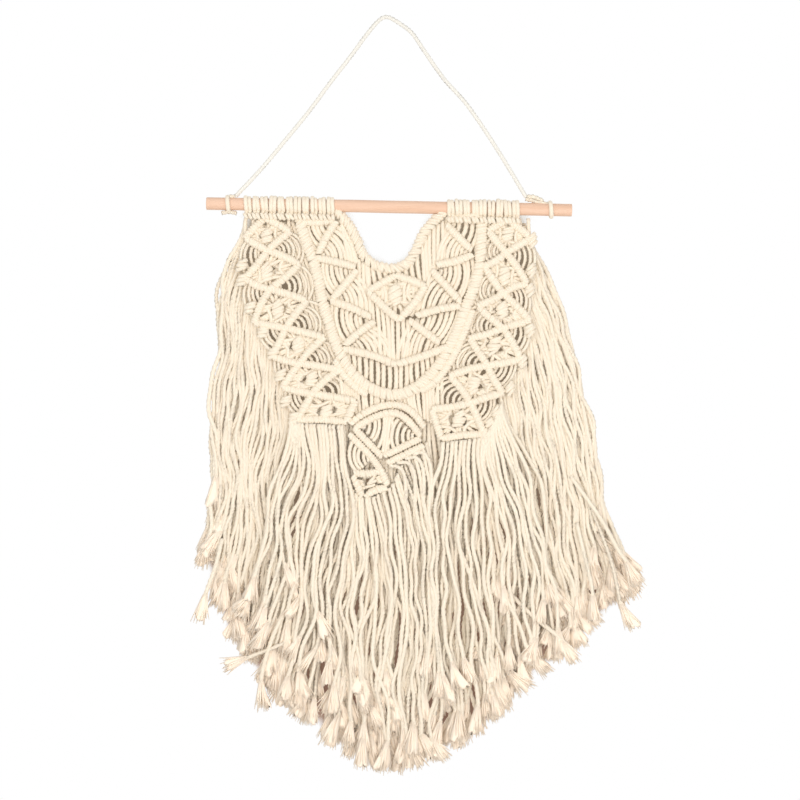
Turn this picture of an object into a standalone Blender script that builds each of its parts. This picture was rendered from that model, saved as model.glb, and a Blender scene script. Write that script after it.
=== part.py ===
"""Macrame wall hanging on a wooden dowel.

Metres, +Z up, and the front faces -Y. The origin is the top of the hanging cord, where a nail holds
it. Every size and place below is in millimetres in that frame, and MM turns it into metres.

The cloth is cotton cord: strands that are fused at ridged knots and bars, with the spaces between
them open. Each fringe is a row or two of loose strands whose roots are fused into a narrow strip.
"""

import math
import random
from collections import namedtuple

import bmesh
import bpy
from mathutils import Vector

MM = 0.001
GAP = 0.3                       # clearance between pieces that touch

# Dowel
DOWEL_DIAMETER = 12.0
DOWEL_LENGTH = 350.0
DOWEL_LEFT = (-173.0, -178.8)   # x and z of the centre of the left end
DOWEL_SLOPE = -0.0177           # it hangs a little lower at the right
DOWEL_SIDES = 20
END_CHAMFER = 0.6

# Cord
CORD_DIAMETER = 4.0
CORD_STEP = 12.0                # spacing of the points along the hanging cord
STRAND_RADIUS = 2.3             # a three-sided strand as wide as the cord
RIDGE_STEP = 7.0                # from the crest of a ridge to the next valley
BAR = (3.6, 3.9, 3.2)           # half width, half depth at a crest and in a valley
INNER_BAR = (3.4, 4.1, 3.4)     # as BAR, a little deeper, for what crosses it
BAND = (6.4, 4.4, 3.7)          # the thick double band that frames the yoke
NECK_BAND = (4.4, 3.9, 3.2)
PENDANT_BAND = (6.2, 4.0, 3.3)
HEADER_BAR = (2.6, 3.6, 2.9)
KNOT = (4.2, 4.4, 3.8)
KNOT_LENGTH = 11.0
KNOT_FULLNESS = (0.62, 1.0, 0.86, 1.0, 0.62)
WRAP_THICKNESS = 2.2            # cord drawn tight over the dowel
WRAP_RIDGE = 1.0
WRAP_STEP = 6.2
WRAP_SIDES = 8
HEADER_DROP = 1.2               # from the underside of the wraps to the middle of the row of knots

# Fringe
ROW_DEPTHS_BACK = (7.0, 11.8)   # y of the two rows that hang behind the knotted cloth
ROW_DEPTHS_FRONT = (-4.8, 0.0)  # y of the two rows that hang in its plane
ROW_DEPTH_SINGLE = (-0.4,)
STRIP_HALF_WIDTH = 2.5
STRIP_FRONT = 2.3               # how far a strip reaches before its front row and behind its back row
STRIP_BACK = 1.9
FRINGE_RADIUS = 2.2
FRINGE_SEGMENTS = 4
WAVE = 3.6                      # sideways wave of a hanging strand
WAVE_LENGTH = 190.0
WAVE_DRIFT = 0.45               # phase from one strand to the next, so that neighbours sway together
TIP_SCATTER = 38.0              # how far above the outline the shortest strands end
TIP_SEED = 11

Place = namedtuple("Place", "x z")
Diamond = namedtuple("Diamond", "top_x top_z outer_x outer_z inner_x inner_z knot_x knot_z")
Link = namedtuple("Link", "top_x top_z foot_x foot_z")
Level = namedtuple("Level", "z left right")
Heading = namedtuple("Heading", "left right")   # a stretch of the dowel
Fringe = namedtuple("Fringe", "name strip depths count levels")

# The hanging cord's route, from the left tie over the nail to the right tie.
CORD_ROUTE = (
    Place(-145.0, -171.7), Place(-120, -145), Place(-94, -114), Place(-74, -89.5),
    Place(-54.5, -63), Place(-35, -38), Place(-20, -17.5), Place(-8.5, -4),
    Place(0, 0), Place(11, -5.5), Place(24, -15.5), Place(36, -33), Place(55, -60),
    Place(75, -82), Place(95, -110.5), Place(114, -140.5), Place(133.2, -172.6),
)

# The ties: one turn round the dowel, the knot beside it, and the free end.
LEFT_TURN = Heading(left=-155.3, right=-151.3)
LEFT_TAIL = (Place(-162, -190.4), Place(-155, -188.6), Place(-147, -189.0), Place(-141.5, -191.2))
LEFT_TOP = (Place(-153.5, -171.0), Place(-149.5, -170.6), Place(-145.8, -171.3))
RIGHT_TURN = Heading(left=155.3, right=159.3)
RIGHT_TOP = (Place(132.5, -175.0), Place(141, -175.4), Place(149, -176.0), Place(157, -176.2))
TIE_RADII = (2.6, 2.2)          # the thick knotted stretch, and the cord drawn over the dowel

LEFT_HEADING = Heading(left=-137.0, right=-50.0)
RIGHT_HEADING = Heading(left=57.0, right=127.0)

# Each wing is a chain of diamonds: the crossing above it, its outer and inner corners, its knot.
LEFT_DIAMONDS = (
    Diamond(-117, -193, -136, -212, -93, -206, -115, -210),
    Diamond(-114, -224, -136, -251, -84, -237, -116, -245),
    Diamond(-112, -261, -127, -293, -77, -272, -105, -280),
    Diamond(-97, -298, -110, -325, -60, -307, -85, -314),
    Diamond(-84, -332, -100, -355, -46, -338, -73, -347),
    Diamond(-72, -361, -86, -386, -30, -368, -58, -378),
)
LEFT_WING_FOOT = Place(-39, -388)
RIGHT_DIAMONDS = (
    Diamond(115, -194, 138, -212, 97, -205, 116, -208),
    Diamond(114, -226, 134, -256, 93, -239, 113, -248),
    Diamond(111, -265, 137, -291, 87, -277, 110, -281),
    Diamond(111, -298, 128, -328, 79, -308, 103, -315),
    Diamond(96, -334, 111, -360, 60, -344, 84, -353),
    Diamond(80, -370, 93, -400, 43, -376, 68, -385),
)
RIGHT_WING_FOOT = Place(52, -404)

U_BAND = (
    Place(-85, -196), Place(-76, -219), Place(-70, -235), Place(-65, -255), Place(-62, -272),
    Place(-56, -291), Place(-51, -308), Place(-43, -326), Place(-31, -344), Place(-15, -356),
    Place(5, -362), Place(26, -356), Place(45, -339), Place(58, -320), Place(68, -299),
    Place(76, -277), Place(84, -257), Place(89, -235), Place(91, -196),
)
NECKLINE = (
    Place(-45, -194), Place(-34, -201), Place(-26, -214), Place(-20, -226), Place(-8, -235),
    Place(9, -239), Place(19, -235), Place(25, -224), Place(31, -211), Place(41, -199), Place(52, -195),
)

# The yoke: a zigzag bar down each side, a diamond in the middle, and the strands between them.
LEFT_ZIGZAG = (
    Place(-80, -197), Place(-51, -196), Place(-65, -229), Place(-31, -243), Place(-52, -272),
    Place(-15, -292), Place(-39, -318), Place(12, -335),
)
RIGHT_ZIGZAG = (
    Place(86, -196), Place(59, -198), Place(79, -227), Place(46, -243), Place(71, -277),
    Place(22, -291), Place(53, -316), Place(6, -335.5),
)
CENTRE_DIAMOND = (Place(9, -246), Place(-18, -263), Place(11, -290), Place(37, -259))
CENTRE_KNOT = Place(8, -266)
YOKE_LINKS = (
    Link(-28, -211, -38, -240), Link(-22, -222, -30, -244), Link(-31, -244, -10, -258),
    Link(42, -199, 50, -240), Link(33, -208, 44, -243), Link(26, -220, 38, -258),
    Link(-4, -276, -4, -330), Link(4, -283, 4, -332), Link(14, -287, 13, -332),
    Link(46, -243, 30, -268), Link(-17, -263, -27, -284),
)
FOOT_LINKS = (
    Link(-30, -322, -27, -348), Link(-18, -325, -14, -357), Link(-5, -330, -1, -361),
    Link(9, -334, 10, -362), Link(24, -328, 23, -358), Link(38, -322, 37, -348),
)
NOTCH_SPREAD = (0.42, 0.80)     # where the two strands of a small notch leave the bars
FAN_SPREAD = (0.42, 0.78)       # the same for the longer bars of the yoke
FAN_SEGMENTS = 3
FAN_BULGE = 0.10                # how far an arc swells past a circle about its notch
STAGGER = 0.35                  # neighbouring strands lie this far before or behind the middle

# The pendant: a closed double band, two fans in it, and a small diamond under its left corner.
PENDANT_LOOP = (
    Place(-31, -393), Place(-23, -382), Place(-9, -374), Place(8, -372), Place(22, -382),
    Place(33, -397), Place(17, -413), Place(-2, -425), Place(-17, -411),
)
PENDANT_CORNERS = (Place(-31, -393), Place(33, -397))
PENDANT_FAN_ENDS = (Place(-1, -371), Place(-4, -424))
PENDANT_SPREAD = (0.45, 0.70)
PENDANT_LINKS = (Link(4, -373, 0, -424),)
SMALL_DIAMOND = (Place(-30, -437), Place(-6, -435), Place(1, -449), Place(-21, -460))
SMALL_KNOT = Place(-14, -446)
PENDANT_NECK = (Place(-3, -423), Place(-8, -437))

# Fringe: the strip each one hangs from, and the left and right edges of its curtain of strands.
FRINGE_OUTLINE = (
    Place(-179, -524), Place(-146, -600), Place(-102, -662), Place(-54, -692), Place(-9, -722),
    Place(20, -726), Place(48, -716), Place(87, -692), Place(127, -648), Place(170, -613),
    Place(204, -578), Place(245, -545),
)
FRINGES = (
    Fringe("fringe_side_left",
           (Place(-139, -214), Place(-135, -252), Place(-125, -295), Place(-110, -326),
            Place(-98, -358), Place(-86, -386)),
           ROW_DEPTHS_BACK, 12,
           (Level(-200, -142, -86), Level(-231, -156, -82), Level(-300, -164, -80),
            Level(-400, -165, -79), Level(-500, -173, -79), Level(-720, -176, -79))),
    Fringe("fringe_side_right",
           (Place(97, -400), Place(111, -360), Place(128, -328), Place(136, -291),
            Place(135, -257), Place(139, -214)),
           ROW_DEPTHS_BACK, 14,
           (Level(-200, 86, 141), Level(-238, 86, 153), Level(-315, 86, 181),
            Level(-396, 86, 197), Level(-463, 86, 209), Level(-540, 87, 237), Level(-720, 88, 262))),
    Fringe("fringe_centre",
           (Place(-70, -366), Place(-35, -380), Place(5, -388), Place(45, -384), Place(78, -376)),
           ROW_DEPTHS_BACK, 17,
           (Level(-360, -72, 80), Level(-500, -72, 80), Level(-720, -72, 81))),
    Fringe("fringe_low_left",
           (Place(-88, -392.6), Place(-41, -394.6)),
           ROW_DEPTHS_FRONT, 8,
           (Level(-390, -92, -38), Level(-470, -110, -43), Level(-720, -122, -42))),
    Fringe("fringe_low_right",
           (Place(52, -410.7), Place(94, -406.7)),
           ROW_DEPTHS_FRONT, 8,
           (Level(-400, 48, 96), Level(-480, 50, 112), Level(-720, 52, 134))),
    Fringe("fringe_pendant",
           (Place(-36, -452), Place(-26, -467), Place(-14, -467), Place(4, -457),
            Place(13, -436), Place(40, -411)),
           ROW_DEPTH_SINGLE, 11,
           (Level(-400, -38, 43), Level(-470, -38, 44), Level(-720, -37, 45))),
)

CREAM = (0.90, 0.80, 0.65)
PINE = (0.93, 0.62, 0.42)


# ---------------------------------------------------------------- paths

def lerp(a, b, t):
    """The value a fraction t of the way from a to b."""
    return a + (b - a) * t


def to_vector(place, y=0.0):
    """A place in the plane of the cloth, y behind it."""
    return Vector((place.x, y, place.z))


def evenly(points, step, closed=False):
    """Points no more than step apart along straight runs, keeping every corner."""
    ends = list(points) + ([points[0]] if closed else [])
    path = [ends[0]]
    for a, b in zip(ends, ends[1:]):
        pieces = max(1, round((b - a).length / step))
        path += [a.lerp(b, i / pieces) for i in range(1, pieces + 1)]
    return path[:-1] if closed else path


def curved(points, step):
    """Points about step apart on a smooth curve through the given points."""
    padded = [points[0] * 2 - points[1]] + list(points) + [points[-1] * 2 - points[-2]]
    fine = []
    for p0, p1, p2, p3 in zip(padded, padded[1:], padded[2:], padded[3:]):
        for i in range(8):
            t = i / 8
            fine.append(0.5 * (2 * p1 + (p2 - p0) * t + (2 * p0 - 5 * p1 + 4 * p2 - p3) * t ** 2
                               + (3 * p1 - p0 - 3 * p2 + p3) * t ** 3))
    fine.append(points[-1].copy())
    along = [0.0]
    for a, b in zip(fine, fine[1:]):
        along.append(along[-1] + (b - a).length)
    count = max(2, round(along[-1] / step))
    path, k = [], 0
    for i in range(count + 1):
        want = along[-1] * i / count
        while k < len(along) - 2 and along[k + 1] < want:
            k += 1
        path.append(fine[k].lerp(fine[k + 1], (want - along[k]) / (along[k + 1] - along[k])))
    return path


def level_at(levels, z):
    """The left and right edges of a curtain at the height z."""
    if z >= levels[0].z:
        return levels[0].left, levels[0].right
    for upper, lower in zip(levels, levels[1:]):
        if z >= lower.z:
            t = (upper.z - z) / (upper.z - lower.z)
            return lerp(upper.left, lower.left, t), lerp(upper.right, lower.right, t)
    return levels[-1].left, levels[-1].right


def outline_at(x):
    """The height of the fringe's lower outline at x."""
    for a, b in zip(FRINGE_OUTLINE, FRINGE_OUTLINE[1:]):
        if x <= b.x:
            return lerp(a.z, b.z, max(0.0, (x - a.x) / (b.x - a.x)))
    return FRINGE_OUTLINE[-1].z


def dowel_z(x):
    """The height of the dowel's axis at x."""
    return DOWEL_LEFT[1] + (x - DOWEL_LEFT[0]) * DOWEL_SLOPE


# ---------------------------------------------------------------- solids

class Shape:
    """Closed tubes gathered in one mesh, in millimetres."""

    def __init__(self):
        self.bm = bmesh.new()

    def tube(self, rings, closed=False):
        """Skin a row of rings, each a list of points in the same order, and cap its two ends."""
        loops = [[self.bm.verts.new(p) for p in ring] for ring in rings]
        pairs = list(zip(loops, loops[1:])) + ([(loops[-1], loops[0])] if closed else [])
        for a, b in pairs:
            for i in range(len(a)):
                j = (i + 1) % len(a)
                self.bm.faces.new((a[i], a[j], b[j], b[i]))
        if not closed:
            self.bm.faces.new(list(reversed(loops[0])))
            self.bm.faces.new(loops[-1])

    def sweep(self, path, section, closed=False):
        """Sweep section(i), a list of (across, depth) pairs, along a path in the cloth's plane."""
        rings = []
        last = len(path) - 1
        for i, p in enumerate(path):
            before = path[i - 1] if i else (path[-1] if closed else p)
            after = path[i + 1] if i < last else (path[0] if closed else p)
            leave = (after - p).normalized() if after != p else (p - before).normalized()
            arrive = (p - before).normalized() if before != p else leave
            along = (leave + arrive).normalized()
            across = along.cross(Vector((0, 1, 0))).normalized()
            deep = across.cross(along).normalized()
            stretch = min(1.35, 1 / max(0.1, along.dot(leave)))
            rings.append([p + across * a * stretch + deep * d for a, d in section(i)])
        self.tube(rings, closed)

    def bar(self, path, size, closed=False, grow=0.0):
        """A ridged bar: flat edges where strands enter, and crests and valleys front and back."""
        half, crest, valley = size

        def section(i):
            d = (crest if (i % 2 or grow) else valley) + grow
            w = half + grow
            return [(-w, -d), (w, -d), (w, d), (-w, d)]

        self.sweep(path, section, closed)

    def strand(self, path, radius=STRAND_RADIUS):
        """A three-sided strand with an edge to the front."""
        corners = [math.radians(a) for a in (-90, 30, 150)]
        section = [(radius * math.cos(a), radius * math.sin(a)) for a in corners]
        self.sweep(path, lambda i: section)

    def knot(self, place):
        """A short ridged knot, upright, fuller in the middle."""
        half, crest, valley = KNOT
        top = Vector((place.x, 0, place.z + KNOT_LENGTH / 2))
        foot = Vector((place.x, 0, place.z - KNOT_LENGTH / 2))
        last = len(KNOT_FULLNESS) - 1
        path = [top.lerp(foot, i / last) for i in range(last + 1)]

        def section(i):
            w = half * KNOT_FULLNESS[i]
            d = crest if i % 2 else valley
            return [(-w, -d), (w, -d), (w, d), (-w, d)]

        self.sweep(path, section)

    def to_object(self, name):
        """Turn the tubes into an object in metres, with faces pointing out."""
        bmesh.ops.recalc_face_normals(self.bm, faces=self.bm.faces[:])
        bmesh.ops.scale(self.bm, vec=Vector((MM, MM, MM)), verts=self.bm.verts[:])
        mesh = bpy.data.meshes.new(name)
        self.bm.to_mesh(mesh)
        self.bm.free()
        obj = bpy.data.objects.new(name, mesh)
        bpy.context.scene.collection.objects.link(obj)
        return obj


def fan(shape, apex, end_a, end_b, spread):
    """Strands that bridge the notch between two bars which meet at the apex, as rings of a fan."""
    a = Vector((end_a.x - apex.x, end_a.z - apex.z))
    b = Vector((end_b.x - apex.x, end_b.z - apex.z))
    turn = a.angle_signed(b)
    for order, share in enumerate(spread):
        path = []
        for i in range(FAN_SEGMENTS + 1):
            t = i / FAN_SEGMENTS
            reach = lerp(a.length, b.length, t) * share * (1 + FAN_BULGE * math.sin(math.pi * t))
            angle = math.atan2(a.y, a.x) - turn * t
            y = STAGGER if order % 2 else -STAGGER
            path.append(Vector((apex.x + reach * math.cos(angle), y, apex.z + reach * math.sin(angle))))
        shape.strand(path)


def link(shape, places, bow=0.0, lift=0.0):
    """A strand between two places, bowed a little sideways."""
    top = Vector((places.top_x, lift, places.top_z))
    foot = Vector((places.foot_x, lift, places.foot_z))
    middle = top.lerp(foot, 0.5) + Vector((bow, 0, 0))
    shape.strand(curved([top, middle, foot], (foot - top).length / 3))


def combine(obj, other, operation):
    """Join other to obj, or cut obj with it, and remove other."""
    modifier = obj.modifiers.new("combine", "BOOLEAN")
    modifier.operation = operation
    modifier.solver = "EXACT"
    modifier.use_self = operation == "UNION"
    modifier.object = other
    bpy.context.view_layer.update()
    evaluated = obj.evaluated_get(bpy.context.evaluated_depsgraph_get())
    mesh = bpy.data.meshes.new_from_object(evaluated)
    obj.modifiers.clear()
    old = obj.data
    obj.data = mesh
    bpy.data.meshes.remove(old)
    bpy.data.objects.remove(other)
    mesh.name = obj.name


def keep_largest(obj):
    """Drop the crumbs that a cut leaves beyond a neighbour, and keep the one large body."""
    bm = bmesh.new()
    bm.from_mesh(obj.data)
    bodies, seen = [], set()
    for start in bm.verts:
        if start in seen:
            continue
        seen.add(start)
        body, front = [start], [start]
        while front:
            vert = front.pop()
            for edge in vert.link_edges:
                other = edge.other_vert(vert)
                if other not in seen:
                    seen.add(other)
                    body.append(other)
                    front.append(other)
        bodies.append(body)
    bodies.sort(key=len)
    for body in bodies[:-1]:
        bmesh.ops.delete(bm, geom=body, context="VERTS")
    bm.to_mesh(obj.data)
    bm.free()


def fused(name, bars, strands, cutters):
    """One body of bars and strands, with 0.3 mm of air to the neighbours in cutters."""
    obj = bars.to_object(name)
    combine(obj, strands.to_object(name + "_strands"), "UNION")
    for i, cutter in enumerate(cutters):
        combine(obj, cutter.to_object(f"{name}_cutter_{i}"), "DIFFERENCE")
    keep_largest(obj)
    return obj


# ---------------------------------------------------------------- materials

def make_material(name, colour, roughness):
    """A plain surface of one colour."""
    material = bpy.data.materials.new(name)
    material.use_nodes = True
    shader = material.node_tree.nodes["Principled BSDF"]
    shader.inputs["Base Color"].default_value = (*colour, 1.0)
    shader.inputs["Roughness"].default_value = roughness
    shader.inputs["Metallic"].default_value = 0.0
    return material


def paint(obj, colour, roughness):
    """Give an object its own material."""
    obj.data.materials.clear()
    obj.data.materials.append(make_material(obj.name, colour, roughness))


# ---------------------------------------------------------------- dowel, ties and hanging cord

def dowel_ring(x, radius, sides):
    """Points around the dowel's axis at x, square to the axis."""
    axis = Vector((1, 0, DOWEL_SLOPE)).normalized()
    up = axis.cross(Vector((0, 1, 0))).normalized() * -1
    side = Vector((0, 1, 0))
    centre = Vector((x, 0, dowel_z(x)))
    ring = []
    for i in range(sides):
        a = 2 * math.pi * i / sides
        ring.append(centre + up * radius * math.cos(a) + side * radius * math.sin(a))
    return ring


def make_dowel():
    """The wooden rod with eased ends."""
    shape = Shape()
    radius = DOWEL_DIAMETER / 2
    left = DOWEL_LEFT[0]
    right = left + DOWEL_LENGTH
    stations = ((left, radius - END_CHAMFER), (left + END_CHAMFER, radius),
                (right - END_CHAMFER, radius), (right, radius - END_CHAMFER))
    shape.tube([dowel_ring(x, r, DOWEL_SIDES) for x, r in stations])
    dowel = shape.to_object("dowel")
    dowel.data.shade_smooth()
    dowel.data.set_sharp_from_angle(angle=math.radians(40))
    paint(dowel, PINE, 0.5)


def wrap_sleeve(shape, left, right, ridges, sides=WRAP_SIDES):
    """Turns of cord drawn tight around the dowel: a ridged sleeve, open through its middle."""
    bore = DOWEL_DIAMETER / 2 + GAP
    # a polygon lies inside its circle, so the bore is widened until its flats clear the dowel
    inner = bore / math.cos(math.pi / sides)
    outer = inner + WRAP_THICKNESS
    stations = 2 * ridges + 1
    outside = []
    for i in range(stations):
        x = lerp(left, right, i / (stations - 1))
        outside.append(dowel_ring(x, outer if i % 2 else outer - WRAP_RIDGE, sides))
    inside = [dowel_ring(right, inner, sides), dowel_ring(left, inner, sides)]
    shape.tube(outside + inside, closed=True)


def header_path(heading):
    """The centre of the row of knots under a heading."""
    drop = DOWEL_DIAMETER / 2 + GAP + WRAP_THICKNESS + HEADER_DROP
    ends = [Vector((x, 0, dowel_z(x) - drop)) for x in (heading.left, heading.right)]
    return evenly(ends, RIDGE_STEP)


def make_heading(name, heading):
    """Cords looped over the dowel, and the row of knots that gathers them below it."""
    sleeve = Shape()
    ridges = round((heading.right - heading.left) / (2 * WRAP_STEP))
    wrap_sleeve(sleeve, heading.left, heading.right, ridges)
    row = Shape()
    row.bar(header_path(heading), HEADER_BAR)
    obj = fused(name, sleeve, row, [dowel_cutter()])
    paint(obj, CREAM, 0.9)


def dowel_cutter():
    """The dowel with its clearance."""
    shape = Shape()
    left = DOWEL_LEFT[0] - 20
    right = DOWEL_LEFT[0] + DOWEL_LENGTH + 20
    radius = (DOWEL_DIAMETER / 2 + GAP) / math.cos(math.pi / DOWEL_SIDES)
    shape.tube([dowel_ring(x, radius, DOWEL_SIDES) for x in (left, right)])
    return shape


def make_ties():
    """The cord's two ties round the dowel: a turn, its knot, and a short free end."""
    left = Shape()
    wrap_sleeve(left, LEFT_TURN.left, LEFT_TURN.right, 1)
    left_knots = Shape()
    left_knots.strand([to_vector(p, -0.5) for p in LEFT_TAIL], TIE_RADII[0])
    left_knots.strand([to_vector(p) for p in LEFT_TOP], TIE_RADII[1])
    tie = fused("tie_left", left, left_knots, [dowel_cutter(), cord_cutter(), header_cutter(LEFT_HEADING)])
    paint(tie, CREAM, 0.9)

    right = Shape()
    wrap_sleeve(right, RIGHT_TURN.left, RIGHT_TURN.right, 1)
    right_knots = Shape()
    right_knots.strand([to_vector(p, -0.4) for p in RIGHT_TOP], TIE_RADII[0])
    tie = fused("tie_right", right, right_knots, [dowel_cutter(), cord_cutter()])
    paint(tie, CREAM, 0.9)


def cord_path():
    """The smooth route of the hanging cord."""
    return curved([to_vector(p) for p in CORD_ROUTE], CORD_STEP)


def cord_cutter():
    """The hanging cord with its clearance, for the ties to lie against."""
    shape = Shape()
    path = cord_path()
    radius = CORD_DIAMETER / 2 + GAP
    corners = [2 * math.pi * i / 8 for i in range(8)]
    section = [(radius * math.cos(a), radius * math.sin(a)) for a in corners]
    for ends in (path[:3], path[-3:]):
        first, last = ends[0], ends[-1]
        reach = (last - first).normalized() * GAP
        shape.sweep([first - reach] + ends[1:-1] + [last + reach], lambda i: section)
    return shape


def header_cutter(heading):
    """A heading's row of knots and its sleeve, with their clearance."""
    shape = Shape()
    path = header_path(heading)
    reach = Vector((GAP, 0, 0))
    shape.bar([path[0] - reach] + path[1:-1] + [path[-1] + reach], HEADER_BAR, grow=GAP)
    shape.tube([dowel_ring(x, DOWEL_DIAMETER / 2 + 2 * GAP + WRAP_THICKNESS + 0.4, 16)
                for x in (heading.left - GAP, heading.right + GAP)])
    return shape


def make_hanging_cord():
    """The cord that the nail holds up."""
    curve = bpy.data.curves.new("hanging_cord", "CURVE")
    curve.dimensions = "3D"
    curve.bevel_depth = CORD_DIAMETER / 2 * MM
    curve.bevel_resolution = 2
    curve.use_fill_caps = True
    path = cord_path()
    spline = curve.splines.new("POLY")
    spline.points.add(len(path) - 1)
    for point, place in zip(spline.points, path):
        point.co = (*(place * MM), 1.0)
    obj = bpy.data.objects.new("hanging_cord", curve)
    bpy.context.scene.collection.objects.link(obj)
    paint(obj, CREAM, 0.9)


# ---------------------------------------------------------------- knotted cloth

def corner(diamond, side):
    """One corner of a diamond: top, outer, inner or knot."""
    return Place(getattr(diamond, side + "_x"), getattr(diamond, side + "_z"))


def make_wing(name, diamonds, foot, heading):
    """Two zigzag bars that cross again and again, with a knot in each diamond and fans between."""
    tops = [corner(d, "top") for d in diamonds]
    bars = Shape()
    for side, size in (("outer", BAR), ("inner", INNER_BAR)):
        route = []
        for d in diamonds:
            route += [to_vector(corner(d, "top")), to_vector(corner(d, side))]
        route.append(to_vector(foot))
        bars.bar(evenly(route, RIDGE_STEP), size)
    strands = Shape()
    last = len(diamonds) - 1
    for i, d in enumerate(diamonds):
        bars.knot(corner(d, "knot"))
        below = tops[i + 1] if i < last else foot
        weave_diamond(strands, d, below)
    for upper, apex, lower in zip(diamonds, tops[1:], diamonds[1:]):
        for side in ("outer", "inner"):
            fan(strands, apex, corner(upper, side), corner(lower, side), NOTCH_SPREAD)
    ends = (Place(heading.left, tops[0].z), Place(heading.right, tops[0].z))
    if tops[0].x > 0:
        ends = ends[::-1]
    fan(strands, tops[0], corner(diamonds[0], "outer"), ends[0], NOTCH_SPREAD)
    obj = fused(name, bars, strands, [u_band_cutter(), header_cutter(heading), dowel_cutter(), pendant_cutter()])
    paint(obj, CREAM, 0.9)


def weave_diamond(strands, diamond, below):
    """Strands that run from side to side of a diamond and are gathered in its knot."""
    top, outer = to_vector(corner(diamond, "top")), to_vector(corner(diamond, "outer"))
    inner, foot = to_vector(corner(diamond, "inner")), to_vector(below)
    knot = to_vector(corner(diamond, "knot"))
    for y, pairs in ((-0.4, ((top, outer), (inner, foot))), (0.4, ((top, inner), (outer, foot)))):
        start = pairs[0][0].lerp(pairs[0][1], 0.55)
        end = pairs[1][0].lerp(pairs[1][1], 0.45)
        shift = Vector((0, y, 0))
        strands.strand([start + shift, knot + shift * 2, end + shift])


def u_band_cutter():
    """The thick band with its clearance."""
    shape = Shape()
    path = curved([to_vector(p) for p in U_BAND], RIDGE_STEP)
    first = path[0] + (path[0] - path[1]).normalized() * GAP
    last = path[-1] + (path[-1] - path[-2]).normalized() * GAP
    shape.bar([first] + path[1:-1] + [last], BAND, grow=GAP)
    return shape


def make_u_band():
    """The thick band from one heading down round the yoke and up to the other."""
    shape = Shape()
    shape.bar(curved([to_vector(p) for p in U_BAND], RIDGE_STEP), BAND)
    obj = shape.to_object("u_band")
    for i, heading in enumerate((LEFT_HEADING, RIGHT_HEADING)):
        combine(obj, header_cutter(heading).to_object(f"u_band_cutter_{i}"), "DIFFERENCE")
    paint(obj, CREAM, 0.9)


def make_yoke():
    """The neckline band, a zigzag down each side, the centre diamond, and the strands between."""
    bars = Shape()
    bars.bar(curved([to_vector(p) for p in NECKLINE], RIDGE_STEP), NECK_BAND)
    for zigzag, size in ((LEFT_ZIGZAG, BAR), (RIGHT_ZIGZAG, INNER_BAR)):
        bars.bar(evenly([to_vector(p) for p in zigzag], RIDGE_STEP), size)
    diamond = [to_vector(p, 0.15) for p in CENTRE_DIAMOND]
    bars.bar(evenly(diamond, RIDGE_STEP, closed=True), BAR, closed=True)
    bars.knot(CENTRE_KNOT)
    strands = Shape()
    for zigzag in (LEFT_ZIGZAG, RIGHT_ZIGZAG):
        for before, apex, after in zip(zigzag, zigzag[1:], zigzag[2:]):
            fan(strands, apex, before, after, FAN_SPREAD)
    top, left, foot, right = CENTRE_DIAMOND
    weave_diamond(strands, Diamond(*top, *left, *right, *CENTRE_KNOT), foot)
    for i, places in enumerate(YOKE_LINKS + FOOT_LINKS):
        link(strands, places, bow=1.0, lift=0.5 if i % 2 else -0.5)
    cutters = [u_band_cutter(), header_cutter(LEFT_HEADING), header_cutter(RIGHT_HEADING), dowel_cutter()]
    obj = fused("yoke", bars, strands, cutters)
    paint(obj, CREAM, 0.9)


def make_pendant():
    """The leaning loop below the yoke, its two fans, and the small diamond folded under it."""
    bars = Shape()
    bars.bar(evenly([to_vector(p) for p in PENDANT_LOOP], RIDGE_STEP + 2, closed=True),
             PENDANT_BAND, closed=True)
    small = [to_vector(p, 0.2) for p in SMALL_DIAMOND]
    bars.bar(evenly(small, RIDGE_STEP, closed=True), BAR, closed=True)
    bars.bar(evenly([to_vector(p, -0.2) for p in PENDANT_NECK], RIDGE_STEP), BAR)
    bars.knot(SMALL_KNOT)
    strands = Shape()
    top, foot = PENDANT_FAN_ENDS
    for apex in PENDANT_CORNERS:
        fan(strands, apex, top, foot, PENDANT_SPREAD)
    for places in PENDANT_LINKS:
        link(strands, places, bow=1.5)
    obj = fused("pendant", bars, strands, [u_band_cutter()])
    paint(obj, CREAM, 0.9)


# ---------------------------------------------------------------- fringe

def strip_place(strip, u):
    """The place a fraction u of the way along a strip's corners."""
    k = min(int(u * (len(strip) - 1)), len(strip) - 2)
    t = u * (len(strip) - 1) - k
    return Place(lerp(strip[k].x, strip[k + 1].x, t), lerp(strip[k].z, strip[k + 1].z, t))


def strand_path(fringe, share, phase, y, tip_z):
    """A strand that leaves the strip, joins its place in the curtain and falls to its tip, swaying."""
    root = strip_place(fringe.strip, share)
    path = [Vector((root.x, y, root.z))]
    for i in range(1, FRINGE_SEGMENTS + 1):
        z = lerp(root.z, tip_z, (i / FRINGE_SEGMENTS) ** 1.15)
        left, right = level_at(fringe.levels, z)
        sway = 0.0 if i == 1 else WAVE * math.sin(2 * math.pi * z / WAVE_LENGTH + phase)
        path.append(Vector((lerp(left, right, share) + sway, y, z)))
    return path


def fringe_paths(fringe):
    """The paths of all the strands of a fringe, row by row from left to right."""
    dice = random.Random(TIP_SEED + fringe.count + len(fringe.strip))
    rows = []
    for row, y in enumerate(fringe.depths):
        paths = []
        for i in range(fringe.count):
            share = (i + 0.5 + 0.4 * (row - 0.5)) / fringe.count
            left, right = level_at(fringe.levels, -640)
            tip_z = outline_at(lerp(left, right, share)) + TIP_SCATTER * dice.random() ** 2
            paths.append(strand_path(fringe, share, WAVE_DRIFT * i + 1.7 * row, y, tip_z))
        rows.append(paths)
    return rows


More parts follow.
